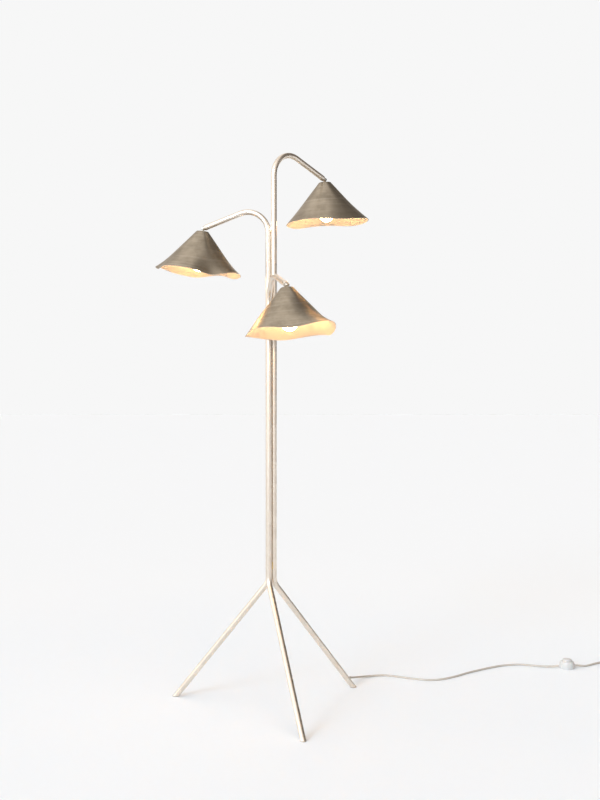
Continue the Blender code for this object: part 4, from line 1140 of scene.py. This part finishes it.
@dataclass
class Shade:
    """The thin conical shade with its holed top plate and wavy rim, in its head's frame."""

    shop: Workshop
    places: Places
    stem: Stem
    below_pivot: float = 0.0075
    top_radius: float = 0.017
    rim_radius: float = 0.1195
    height: float = 0.122
    thickness: float = 0.0009
    edge: float = 0.0015
    flare: float = 0.004
    flare_start: float = 0.45
    hole: float = 0.005
    columns: int = 320
    rows: int = 110
    dent: float = 0.00035
    wear_depth: float = 0.0016

    def cone(self, share: Array, angle: Array, inset: float) -> Array:
        """Return points of the cone.

        The straight cone has radius top + share (rim - top) and height -share height. Below flare_start it
        is pushed along its own normal by e (flare + waves), where e grows as the square of the way down and
        waves is a sum of h cos(lobes a - phase). Shallow hand-worked dents add a sum of two products of
        cosines and sines, and inset goes in through the sheet.

        Args:
            share: the way down, from 0 at the top to 1 at the rim.
            angle: the angle round the shade.
            inset: the depth under the outer face.

        Returns:
            A point for each share and angle.
        """
        spread = self.rim_radius - self.top_radius
        slant = np.hypot(spread, self.height)
        ease = np.maximum(0, (share - self.flare_start) / (1 - self.flare_start)) ** 2
        wave = sum(height * np.cos(lobes * angle - np.radians(phase))
                   for lobes, height, phase in self.stem.waves)
        seed = self.stem.post_angle
        coarse = np.cos(5 * angle + seed) * np.sin(7 * share + seed)
        dents = coarse + 0.6 * np.cos(9 * angle - 4 * share + seed)
        push = ease * (self.flare + wave) + self.dent * dents * np.minimum(1, 6 * share) - inset
        radius = self.top_radius + share * spread + push * self.height / slant
        level = -self.below_pivot - share * self.height + push * spread / slant
        return np.stack((radius * np.cos(angle), radius * np.sin(angle), level), axis=-1)

    def plate(self, radius: Array, angle: Array, inset: float) -> Array:
        """Return points of the level top plate, (r cos a, r sin a, z).

        Args:
            radius: the distance from the axis.
            angle: the angle round the shade.
            inset: the depth under the upper face.

        Returns:
            A point for each radius and angle.
        """
        level = np.full(np.broadcast_shapes(radius.shape, angle.shape), -self.below_pivot - inset)
        return np.stack((radius * np.cos(angle), radius * np.sin(angle), level), axis=-1)

    def corner(self, angle: Array) -> Array:
        """Return the rings that round the plate into the cone.

        With t from 0 to 1 they are start (1 - t)^2 + crest 2 t (1 - t) + end t^2.

        Args:
            angle: the angle round the shade.

        Returns:
            A point for each ring and angle.
        """
        start = self.plate(np.array([[self.top_radius - self.edge]]), angle, 0.0)
        end = self.cone(np.array([[self.edge / self.height]]), angle, 0.0)
        crest = self.plate(np.array([[self.top_radius - self.edge * 0.1]]), angle, 0.0)
        t = np.linspace(0, 1, 7)[1:-1, None, None]
        return start * (1 - t) ** 2 + crest * 2 * t * (1 - t) + end * t**2

    def make(self) -> None:
        """Make the sheet: out along the plate, down the cone, round the cut rim and back up inside."""
        angle = np.linspace(0, TAU, self.columns, endpoint=False)[None]
        share = np.linspace(self.edge / self.height, 1, self.rows)[:, None]
        flat = np.linspace(self.hole, self.top_radius - self.edge, 5)[:, None]
        corner = self.corner(angle)
        outside = np.concatenate((self.plate(flat, angle, 0.0), corner, self.cone(share, angle, 0.0)))
        inside = np.concatenate((self.cone(share[::-1], angle, self.thickness),
                                 self.plate(flat[::-1], angle, self.thickness)))
        lip = (outside[-1:] + inside[:1]) / 2
        lip = lip + unit(outside[-1:] - outside[-2:-1]) * self.thickness * 0.4
        points = np.concatenate((outside, lip, inside))
        down = self.top_radius + share[:, 0] * self.height * 1.3
        along = np.concatenate((np.linspace(0, self.top_radius, len(flat) + len(corner)), down, down[-1:],
                                down[::-1], np.linspace(self.top_radius, 0, len(flat))))
        grain = np.stack(np.broadcast_arrays(np.cos(angle), np.sin(angle), along[:, None]), axis=-1)
        rim = np.exp((along - along.max()) / self.wear_depth)
        wear = np.broadcast_to(rim[:, None], points.shape[:2])
        inner = np.arange(len(points)) > len(outside)
        lining = np.broadcast_to(inner[:, None].astype(float), points.shape[:2])
        sheet = Patch(points, grain, wear, lining, loop=True)
        item = build_mesh(f"shade_sheet_{self.stem.name}", [sheet], self.places.head[self.stem.name], crease=50)
        self.shop.fit(item, self.stem.body, Slot.SHADE, f"shade_{self.stem.name}")


@dataclass
class Lamp:
    """The lampholder's skirt and the opal ball lamp, in their head's frame."""

    shop: Workshop
    places: Places
    stem: Stem
    top: float = -0.0130
    radius: float = 0.0135
    wall: float = 0.0015
    length: float = 0.045
    chamfer: float = 0.0027
    shoulder: float = 0.004
    tip: float = -0.0321
    cap: float = 0.0255
    ball: float = 0.0225
    glass_length: float = 0.066
    neck: float = 0.0115
    mouth_inset: float = 0.0032
    glass_wall: float = 0.001
    hole: float = 0.005
    grips: tuple[float, float] = (0.012, 0.016)
    grip_depth: float = 0.0005

    def holder(self) -> None:
        """Make the lampholder: a moulded skirt with two grip rings, hollow to its contact block."""
        top, radius, bottom = self.top, self.radius, self.top - self.length
        inner = radius - self.wall
        rings = []
        for below in self.grips:
            level = top - below
            rings += [(radius, level + 0.0006), (radius - self.grip_depth, level), (radius, level - 0.0006)]
        outside = ((self.hole, top), (radius - self.chamfer, top), (radius, top - self.shoulder), *rings,
                   (radius, bottom))
        inside = ((inner, bottom), (inner, top - self.shoulder - self.wall / 2),
                  (radius - self.chamfer - self.wall / 2, top - self.wall), (self.hole, top - self.wall))
        profile = rounded_loop((*outside, *inside), 0.0004, 3)
        item = build_mesh(f"holder_{self.stem.name}", [revolve(profile, 64, closed=True)],
                          self.places.head[self.stem.name], crease=50)
        self.shop.fit(item, self.stem.body, Slot.HOLDER, f"lampholder_{self.stem.name}")

    def glass(self) -> None:
        """Make the opal glass: a neck that swells into a ball, as an outer and an inner skin."""
        top = self.tip - self.cap - GAP
        centre = top - self.glass_length + self.ball
        start = np.arcsin(self.neck / self.ball) + np.radians(12)
        angle = np.linspace(start, np.pi, 48)

        def profile(inset: float) -> Array:
            """Return the profile from the mouth down, at an inset from the outer face."""
            reach, neck = self.ball - inset, self.neck - inset
            throat = ((neck - self.mouth_inset, top), (neck, top - 0.004), (neck + 0.0007, top - 0.011))
            bowl = np.stack((reach * np.sin(angle), centre + reach * np.cos(angle)), axis=1)
            return np.vstack((rounded(np.vstack((throat, bowl[:1])), (0.003, 0.012), 8), bowl[1:]))

        outer, inner = revolve(profile(0.0)), revolve(profile(self.glass_wall)[::-1])
        mouth = Patch(np.stack((outer.points[0], inner.points[-1])), np.stack((outer.grain[0],) * 2))
        item = build_mesh(f"glass_{self.stem.name}", [outer, inner, mouth],
                          self.places.head[self.stem.name], crease=80)
        self.shop.fit(item, self.stem.body, Slot.GLASS, f"lamp_glass_{self.stem.name}")

    def make(self) -> None:
        """Make the holder and the glass."""
        self.holder()
        self.glass()


# ---------------------------------------------------------------- cord, switch and plug


@dataclass
class Switch:
    """The round foot switch on the cord, in its own frame with X along the cord."""

    shop: Workshop
    azimuth: float = 8.0
    radius: float = 0.0235
    height: float = 0.024
    shoulder: float = 0.007
    wall: float = 0.0018
    base: float = 0.0025
    spout_radius: float = 0.0046
    spout_reach: float = 0.0275
    spout_height: float = 0.0078
    button_radius: float = 0.0145
    button_top: float = 0.031
    skirt: float = 0.0022
    boss_radius: float = 0.00675
    boss_height: float = 0.004
    post_radius: float = 0.0032
    post_height: float = 0.011
    socket_radius: float = 0.0044
    roof_depth: float = 0.0045

    @property
    def frame(self) -> Array:
        """Where the switch stands on the floor."""
        centre = box_centre("switch_base")
        return turned("Z", self.azimuth, (centre[0], centre[1], 0.0))

    def cover(self) -> bpy.types.Object:
        """Make the cover: a domed shell with a round window for the button, and a spout at each side.

        Returns:
            The cover.
        """
        edge = self.base + GAP
        inner, ceiling = self.radius - self.wall, self.height - self.wall
        hole = self.button_radius + 2 * GAP
        corners = ((self.radius, edge), (self.radius, self.height - self.shoulder),
                   (self.radius * 0.93, self.height - self.shoulder * 0.4), (self.radius * 0.8, self.height),
                   (hole, self.height), (hole, ceiling), (inner * 0.8, ceiling),
                   (inner, ceiling - self.shoulder + self.wall), (inner, edge))
        radii = (0.0004, 0.006, 0.006, 0.004, 0.0006, 0.0003, 0.002, 0.002, 0.0002)
        item = build_mesh("foot_switch_cover", [revolve(rounded_loop(corners, radii, 6), 96, closed=True)])
        tools = []
        for side in (-1, 1):
            near, slim = inner + self.wall / 2, self.spout_radius
            spout = rounded(((0, near), (slim + 0.0008, near), (slim, self.radius + 0.001),
                             (slim, self.spout_reach), (0, self.spout_reach)), (0.0, 0.001, 0.0009), 5)
            lift = turned("Y", 90 * side, (0, 0, self.spout_height))
            tools.append(build_mesh(f"spout_tool_{side}", [revolve(spout, 40)], lift))
        carve(item, tools, Cut.ON, 35)
        item.data.transform(Matrix(self.frame.tolist()))
        return self.shop.fit(item, "stand", Slot.SWITCH, "switch_cover")

    def plate(self) -> bpy.types.Object:
        """Make the base plate with its spring boss and post.

        Returns:
            The plate.
        """
        boss, post = self.base + self.boss_height, self.base + self.post_height
        corners = ((0, 0.0), (self.radius, 0.0), (self.radius, self.base), (self.boss_radius, self.base),
                   (self.boss_radius, boss), (self.post_radius, boss), (self.post_radius, post), (0, post))
        profile = rounded(corners, (0.0008, 0.0003, 0.0003, 0.0003, 0.0003, 0.0004), 4)
        item = build_mesh("foot_switch_base", [revolve(profile, 96)], self.frame)
        return self.shop.fit(item, "stand", Slot.SWITCH, "switch_base")

    def button(self) -> bpy.types.Object:
        """Make the button: a low dome with a dished middle and a skirt that keeps it in the cover.

        Returns:
            The button.
        """
        skirt_top = self.height - self.wall - GAP
        low = skirt_top - self.skirt
        roof, socket = self.button_top - self.roof_depth, self.socket_radius
        skirt = self.button_radius + 0.002
        top = self.button_top
        corners = ((0, roof), (socket, roof), (socket, low), (skirt, low), (skirt, skirt_top),
                   (self.button_radius, skirt_top), (self.button_radius, top - 0.003),
                   (self.button_radius * 0.9, top - 0.0006), (self.button_radius * 0.62, top),
                   (self.button_radius * 0.5, top - 0.0005), (0, top - 0.0009))
        radii = (0.0004, 0.0004, 0.0004, 0.0004, 0.0, 0.002, 0.003, 0.002, 0.002)
        profile = rounded(corners, radii, 6)
        item = build_mesh("foot_switch_button", [revolve(profile, 80)], self.frame, crease=45)
        return self.shop.fit(item, "switch_button", Slot.SWITCH, "switch_button")

    def make(self) -> list[bpy.types.Object]:
        """Make the switch's outer pieces and return what goes with the cord."""
        inner = [self.shop.frame["nodes"][name] for name in ("switch_spring", "switch_terminals")]
        return [self.cover(), self.plate(), self.button(), *inner]


@dataclass
class Plug:
    """The flat two-pin plug, in its own frame with X towards the pins."""

    shop: Workshop
    length: float = 0.036
    width: float = 0.035
    cord_width: float = 0.012
    thickness: float = 0.0136
    relief: float = 0.022
    rise: float = 6.0
    root_radius: float = 0.0051
    tip_radius: float = 0.0034
    face: float = 0.002
    face_half: tuple[float, float] = (0.0136, 0.0053)
    sleeve: float = 0.010
    pin_radius: float = 0.002
    pin_length: float = 0.019
    pin_spacing: float = 0.0186

    @property
    def frame(self) -> Array:
        """Where the plug lies: its middle is its relief and half its length from the box's near side."""
        centre = box_centre("plug_pins")
        return placed(centre - ((self.pin_length - self.face + self.length) / 2, 0, 0), *np.eye(3))

    def body(self) -> bpy.types.Object:
        """Make the body: a crowned pebble outline, with a ribbed relief that rises to the coil.

        Returns:
            The body.
        """
        half, wide, slim = self.length / 2, self.width / 2, self.cord_width / 2
        front = half - self.face - GAP
        side = ((-half, slim), (-half * 0.6, slim * 1.3), (half * 0.1, wide), (half * 0.7, wide),
                (front, self.face_half[0]))
        bends = (0.002, 0.008, 0.012, 0.008, 0.001)
        outline = rounded_loop((*side, *((x, -y) for x, y in reversed(side))), (*bends, *reversed(bends)), 8)
        height = self.thickness / 2
        t = np.radians(np.linspace(-90, 90, 21))
        levels = height * np.sin(t)
        shares = 0.86 + 0.14 * np.abs(np.cos(t)) ** 0.5
        item = build_mesh("plug_moulding", [prism(outline, levels, shares)])
        steps = np.linspace(0, self.relief, 23)
        taper = self.root_radius + (self.tip_radius - self.root_radius) * steps / self.relief
        ribs = taper - 0.0006 * (np.sin(np.linspace(0, TAU * 5, 23)) > 0.3) * (steps > 0.003) * (steps < 0.02)
        cone = np.stack((ribs, steps), axis=1)
        profile = np.vstack(((0, -0.004), (self.root_radius, -0.004), cone, (0, self.relief)))
        lift = turned("Y", self.rise - 90, (-half, 0, 0))
        relief = build_mesh("relief_tool", [revolve(profile, 40)], lift)
        carve(item, [relief], Cut.ON, 40)
        item.data.transform(Matrix(self.frame.tolist()))
        return self.shop.fit(item, "stand", Slot.SWITCH, "plug_body")

    def pins(self) -> bpy.types.Object:
        """Make the face plate with its two round pins, sleeved near the plate and bare at the tips.

        Returns:
            The plate with its pins.
        """
        half = self.length / 2
        low = half - self.face
        wide, tall = self.face_half
        square = rounded_loop(((-wide, -tall), (wide, -tall), (wide, tall), (-wide, tall)), 0.003, 6)
        along_x = turned("Y", 90) @ turned("Z", 90)
        item = build_mesh("plug_face", [prism(square, np.array((low, half)))], along_x)
        sleeved, thick, root = self.pin_radius - 0.0001, self.pin_radius, low + 0.001
        neck, end = half + self.sleeve, half + self.pin_length
        profile = rounded(((0, root), (sleeved, root), (sleeved, neck), (thick, neck), (thick, end), (0, end)),
                          (0, 0.0, 0.0, 0.0014), 6)
        tools = []
        for side in (-1, 1):
            lift = turned("Y", 90, (0, side * self.pin_spacing / 2, 0))
            tools.append(build_mesh(f"pin_tool_{side}", [revolve(profile, 32)], lift))
        carve(item, tools, Cut.ON, 40)
        item.data.transform(Matrix(self.frame.tolist()))
        return self.shop.fit(item, "stand", Slot.SWITCH, "plug_pins")

    def make(self) -> list[bpy.types.Object]:
        """Make the plug's two pieces."""
        return [self.body(), self.pins()]


@dataclass
class Cord:
    """The loose cord: from the leg's gland to the foot switch, and on to the coil and the plug."""

    shop: Workshop
    places: Places
    switch: Switch
    plug: Plug
    radius: float = 0.003
    coil_radius: float = 0.030
    coil_base: float = 0.0015
    turns: int = 5
    gland_height: float = 0.027
    gland_turn: float = 35.0
    gland_drop: float = 4.0
    gland_length: float = 0.034
    gland_radius: float = 0.0042
    collar_radius: float = 0.0058
    collar_start: float = 0.0105
    collar_end: float = 0.0125
    tip_radius: float = 0.0034
    tie_slack: float = 0.0004
    tie_wall: float = 0.0009
    tie_half_width: float = 0.003
    tie_angle: float = -150.0
    to_switch: tuple = (
        (0.240, 0.236, 0.0200), (0.256, 0.270, 0.0120), (0.280, 0.300, 0.0060), (0.313, 0.321, 0.0032),
        (0.351, 0.326, 0.0031), (0.3927, 0.309, 0.0031), (0.428, 0.290, 0.0031), (0.464, 0.275, 0.0031),
        (0.4956, 0.272, 0.0031), (0.529, 0.284, 0.0031), (0.571, 0.315, 0.0031), (0.6156, 0.3576, 0.0031),
        (0.6598, 0.3936, 0.0031), (0.7045, 0.4266, 0.0031), (0.742, 0.4486, 0.0031), (0.784, 0.4605, 0.0031),
        (0.8175, 0.4590, 0.0031), (0.853, 0.4430, 0.0036), (0.884, 0.4290, 0.0055),
    )
    from_switch: tuple = (
        (0.9925, 0.4360, 0.0060), (1.012, 0.4445, 0.0036), (1.034, 0.4610, 0.0031), (1.0555, 0.4780, 0.0034),
        (1.0720, 0.4860, 0.0041),
    )

    @property
    def gland_frame(self) -> Array:
        """The gland's frame: on the leg's centre line, Z out along the cord."""
        stem, pole = STEMS[0], self.places.pole
        foot, up = stem.foot(pole), stem.leg(pole)
        out = heading(stem.leg_azimuth + self.gland_turn, -self.gland_drop)
        side = unit(np.cross((0, 0, 1), out))
        return placed(foot + up * (self.gland_height / up[2]), side, np.cross(out, side), out)

    def gland(self) -> bpy.types.Object:
        """Make the strain relief: a collar against the leg and a taper with grooves that let it flex.

        Returns:
            The relief.
        """
        slim, near, far = self.gland_radius, self.collar_start, self.collar_end
        steps = np.linspace(far, self.gland_length, 44)
        share = (steps - steps[0]) / (steps[-1] - steps[0])
        taper = slim + (self.tip_radius - slim) * share
        groove = 0.0005 * (np.sin(share * TAU * 6) > 0.2) * (share > 0.08) * (share < 0.92)
        cone = np.stack((taper - groove, steps), axis=1)
        collar = rounded(((0, 0.004), (slim, 0.004), (slim, near), (self.collar_radius, near),
                          (self.collar_radius - 0.0002, far - 0.0003), (slim, far)), (0, 0, 0.0004, 0.0004), 4)
        profile = np.vstack((collar, cone[1:], (0, self.gland_length)))
        item = build_mesh("cord_strain_relief", [revolve(profile, 40)], self.gland_frame, crease=45)
        return self.shop.fit(item, "stand", Slot.CORD, "cord_gland")

    def first_path(self) -> Array:
        """Return the line from the gland's tip to the switch.

        Returns:
            The line's points.
        """
        start, straight = self.gland_length + GAP, 2 * self.radius
        tip = moved(np.array(((0, 0, start), (0, 0, start + straight))), self.gland_frame)
        reach, level = self.switch.spout_reach + GAP, self.switch.spout_height
        entry = moved(np.array(((-reach - straight, 0, level), (-reach, 0, level))), self.switch.frame)
        return smooth_line(np.vstack((tip, np.array(self.to_switch) + self.places.pole, entry)), 10)

    def second_path(self) -> Array:
        """Return the line from the switch to the coil, round its turns and out to the plug's relief.

        In the coil the angle falls from 90 degrees by 360 for each turn. The cord lies in six places, three
        below and three above, and eases from each to the next over a sixth of a turn, each time a sixth of a
        turn sooner, so that it never meets the turn that it moves towards.

        Returns:
            The line's points.
        """
        step = 2 * self.radius
        reach, spout = self.switch.spout_reach + GAP, self.switch.spout_height
        leaving = moved(np.array(((reach, 0, spout), (reach + step, 0, spout))), self.switch.frame)
        centre = box_centre("cord_coil")
        line = self.coil_radius + step
        low = self.coil_base + self.radius
        outer = line + self.radius
        meet = np.sqrt(outer**2 - (outer - self.radius - self.tip_radius) ** 2) + GAP
        end = np.array((centre[0] - meet, centre[1] + line, low))
        approach = smooth_line(np.vstack((leaving, np.array(self.from_switch) + self.places.pole, end)), 10)
        t = np.linspace(0, self.turns, self.turns * 40 + 1)
        radii = self.coil_radius + step * np.array((1, 0, -1, -1, 0, 1))
        levels = low + step * np.array((0, 0, 0, 1, 1, 1))
        width = 1 / 6
        starts = np.arange(1, 6) * (1 - width) - 0.9 * width
        eased = np.clip((t[:, None] - starts) / width, 0, 1)
        eased = eased * eased * (3 - 2 * eased)
        radius = radii[0] + eased @ np.diff(radii)
        level = levels[0] + eased @ np.diff(levels)
        angle = np.radians(90 - 360 * t)
        coil = np.stack((centre[0] + radius * np.cos(angle), centre[1] + radius * np.sin(angle), level), axis=1)
        into = end + np.linspace(0, 1, 5)[1:-1, None] * (coil[0] - end)
        rise = self.plug.thickness / 2 + GAP + self.plug.relief * np.sin(np.radians(self.plug.rise))
        tip = np.array((centre[0] + meet, centre[1] + line, rise))
        away = np.linspace(0, 1, 7)[1:, None]
        out = coil[-1] + away * (tip - coil[-1])
        out[:, 2] = coil[-1][2] + (away[:, 0] ** 2) * (tip[2] - coil[-1][2])
        out[-1, 0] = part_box("plug_body")[0][0] + 0.0002
        return np.vstack((approach, into, coil, out))

    def tie(self) -> bpy.types.Object:
        """Make the tie: a flat strap with round edges round the turns, with a small buckle on top.

        Returns:
            The tie.
        """
        half = 3 * self.radius + self.tie_slack
        low, high = -self.tie_slack, 4 * self.radius + self.tie_slack
        wall, wide = self.tie_wall, self.tie_half_width
        loop = rounded_loop(((-half, low), (half, low), (half, high), (-half, high)), 0.0022, 8)
        normal = unit(np.roll(loop, -1, axis=0) - np.roll(loop, 1, axis=0)) @ np.array(((0, -1), (1, 0)))
        section = np.array(((0, -wide), (wall * 0.7, -wide), (wall, -wide + 0.0003), (wall, wide - 0.0003),
                            (wall * 0.7, wide), (0, wide)))
        spots = loop[:, None] + normal[:, None] * section[None, :, :1]
        across = np.broadcast_to(section[None, :, 1], spots.shape[:2])
        points = np.stack((self.coil_radius + spots[..., 0], across, spots[..., 1]), axis=-1)
        along = np.broadcast_to(run_length(loop)[:, None], across.shape)
        grain = np.stack((across * 100, along * 0, along), axis=-1)
        square = rounded_loop(((-0.004, -0.0026), (0.004, -0.0026), (0.004, 0.0026), (-0.004, 0.0026)),
                              0.0008)
        buckle = prism(square + (self.coil_radius, 0), high + np.array((0.0004, 0.0016, 0.0020)), (1, 1, 0.9))
        centre = box_centre("cord_coil")
        place = turned("Z", self.tie_angle, (centre[0], centre[1], self.coil_base))
        item = build_mesh("coil_tie", [Patch(points, grain, loop=True), buckle], place)
        return self.shop.fit(item, "stand", Slot.TIE, "cord_tie")

    def tube(self, name: str, path: Array, *nodes: str) -> bpy.types.Object:
        """Make a stretch of cord.

        Args:
            name: its name.
            path: its centre line.
            nodes: the CAD nodes that it stands for.

        Returns:
            The stretch.
        """
        item = build_mesh(name, [sweep(path, self.radius, np.array((0.0, 0.0, 1.0)), 24)])
        return self.shop.fit(item, "stand", Slot.CORD, *nodes)

    def make(self) -> None:
        """Make both stretches of cord, with the pieces that go with them."""
        switch, plug = self.switch.make(), self.plug.make()
        relief = self.gland()
        first = self.first_path()
        to_switch = self.tube("cord_leg_to_switch", first, "cord_to_switch")
        second = self.second_path()
        to_plug = self.tube("cord_switch_to_plug", second, "cord_to_coil", "cord_coil")
        self.tie()
        LOG.info("cord: %.3f m and %.3f m", run_length(first)[-1], run_length(second)[-1])


# ---------------------------------------------------------------- studio


@dataclass(frozen=True)
class SoftBox:
    """A soft light, or a dark screen, far away: what it adds to the room's light from around one direction.

    inner and outer are the half angles, in degrees, where it starts to fade and where it is gone.
    """

    toward: tuple[float, float, float]
    inner: float
    outer: float
    colour: tuple[float, float, float]


SOFT_BOXES = (
    SoftBox((0, 0, 1), 179.0, 180.0, (1.14, 1.08, 1.02)),
    SoftBox((-0.508, -0.771, 0.384), 5, 14, (8.5, 12.5, 16.5)),
    SoftBox((-0.95, -0.35, 0.1), 20, 70, (0.60, 0.58, 0.55)),
    SoftBox((0.85, 0.3, 0.45), 40, 64, (-0.95, -0.91, -0.87)),
    SoftBox((-0.6, 0.75, 0.35), 10, 42, (-0.45, -0.45, -0.45)),
)


@dataclass
class Studio:
    """The pale floor, the soft light and the camera."""

    places: Places
    distance: float = 3.0
    aside: float = 0.0836
    eye: float = 0.868
    focal: float = 1059 / 800
    pale: float = 0.9301
    floor_half: float = 60.0
    floor_far: tuple[float, float, float] = (0.931, 0.929, 0.932)
    floor_near: tuple[float, float, float] = (0.866, 0.897, 0.928)
    fade: tuple[float, float] = (0.2, 2.3)

    def camera(self) -> None:
        """Add a level camera that looks along +Y."""
        data = bpy.data.cameras.new("camera")
        data.sensor_fit = "VERTICAL"
        data.sensor_height = 24.0
        data.lens = 24.0 * self.focal
        item = bpy.data.objects.new("camera", data)
        pole = self.places.pole
        item.location = (pole[0] + self.aside, pole[1] - self.distance, self.eye)
        item.rotation_euler = (np.radians(90), 0, 0)
        bpy.context.collection.objects.link(item)
        bpy.context.scene.camera = item

    def floor(self) -> None:
        """Add a wide matt floor, a little darker round the lamp, where more light reaches it."""
        side = np.linspace(-self.floor_half, self.floor_half, 5)
        grid = np.stack((*np.meshgrid(side, side, indexing="ij"), np.zeros((5, 5))), axis=-1)
        item = build_mesh("floor", [Patch(grid, grid * 0, ring=False)])
        board = Board("pale_floor")
        place = board.add("ShaderNodeTexCoord").outputs["Object"]
        length = board.add("ShaderNodeVectorMath", operation="LENGTH")
        board.wire(place, length.inputs[0])
        near = board.remap(length.outputs["Value"], *self.fade, 1.0, 0.0)
        paper = board.blend(near, self.floor_far, self.floor_near)
        speck = board.noise(place, (30.0, 30.0, 30.0), 2.0, 0.5)
        colour = board.blend(board.remap(speck, 0.3, 0.7, 0.0, 0.01), paper, (0.8, 0.8, 0.8))
        board.wire(colour, board.shader.inputs["Base Color"])
        board.shader.inputs["Roughness"].default_value = 1.0
        board.shader.inputs["Specular IOR Level"].default_value = 0.0
        item.data.materials.append(board.material)

    def light(self) -> None:
        """Light the scene from a soft surround, and show a plain pale backdrop behind the floor."""
        world = bpy.data.worlds.new("studio")
        bpy.context.scene.world = world
        world.use_nodes = True
        tree = world.node_tree
        tree.nodes.clear()

        def add(kind: str, operation: str | None = None) -> bpy.types.Node:
            """Return a new node, with its operation where it has one."""
            node = tree.nodes.new(kind)
            if operation:
                node.operation = operation
            return node

        place = add("ShaderNodeTexCoord").outputs["Generated"]
        total = None
        for box in SOFT_BOXES:
            facing = add("ShaderNodeVectorMath", "DOT_PRODUCT")
            facing.inputs[1].default_value = unit(np.array(box.toward, float))
            tree.links.new(place, facing.inputs[0])
            share = add("ShaderNodeMapRange")
            share.interpolation_type = "SMOOTHSTEP"
            share.inputs["From Min"].default_value = np.cos(np.radians(box.outer))
            share.inputs["From Max"].default_value = np.cos(np.radians(box.inner))
            tree.links.new(facing.outputs["Value"], share.inputs["Value"])
            glow = add("ShaderNodeVectorMath", "SCALE")
            glow.inputs[0].default_value = box.colour
            tree.links.new(share.outputs["Result"], glow.inputs["Scale"])
            if total is None:
                total = glow.outputs["Vector"]
                continue
            plus = add("ShaderNodeVectorMath", "ADD")
            tree.links.new(total, plus.inputs[0])
            tree.links.new(glow.outputs["Vector"], plus.inputs[1])
            total = plus.outputs["Vector"]
        positive = add("ShaderNodeVectorMath", "MAXIMUM")
        tree.links.new(total, positive.inputs[0])
        room, seen = add("ShaderNodeBackground"), add("ShaderNodeBackground")
        tree.links.new(positive.outputs["Vector"], room.inputs["Color"])
        seen.inputs["Color"].default_value = (self.pale, self.pale, self.pale, 1.0)
        either = add("ShaderNodeMixShader")
        tree.links.new(add("ShaderNodeLightPath").outputs["Is Camera Ray"], either.inputs[0])
        tree.links.new(room.outputs[0], either.inputs[1])
        tree.links.new(seen.outputs[0], either.inputs[2])
        tree.links.new(either.outputs[0], add("ShaderNodeOutputWorld").inputs["Surface"])

    def make(self) -> None:
        """Set the stage."""
        self.floor()
        self.light()
        bpy.context.scene.view_settings.view_transform = "Standard"


def main() -> None:
    """Load the frame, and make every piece."""
    logging.basicConfig(level=logging.INFO, format="%(name)s: %(message)s")
    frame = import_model()
    shop = Workshop(frame)
    places = Places(shop)
    studio = Studio(places)
    studio.camera()
    Cord(shop, places, Switch(shop), Plug(shop)).make()
    shop.dress_frame()
    Tubes(shop, places).make()
    for stem in STEMS:
        Knuckle(shop, places, stem).make()
        Shade(shop, places, stem).make()
        Lamp(shop, places, stem).make()
    studio.make()
    bpy.context.view_layer.update()


if __name__ == "__main__":
    main()
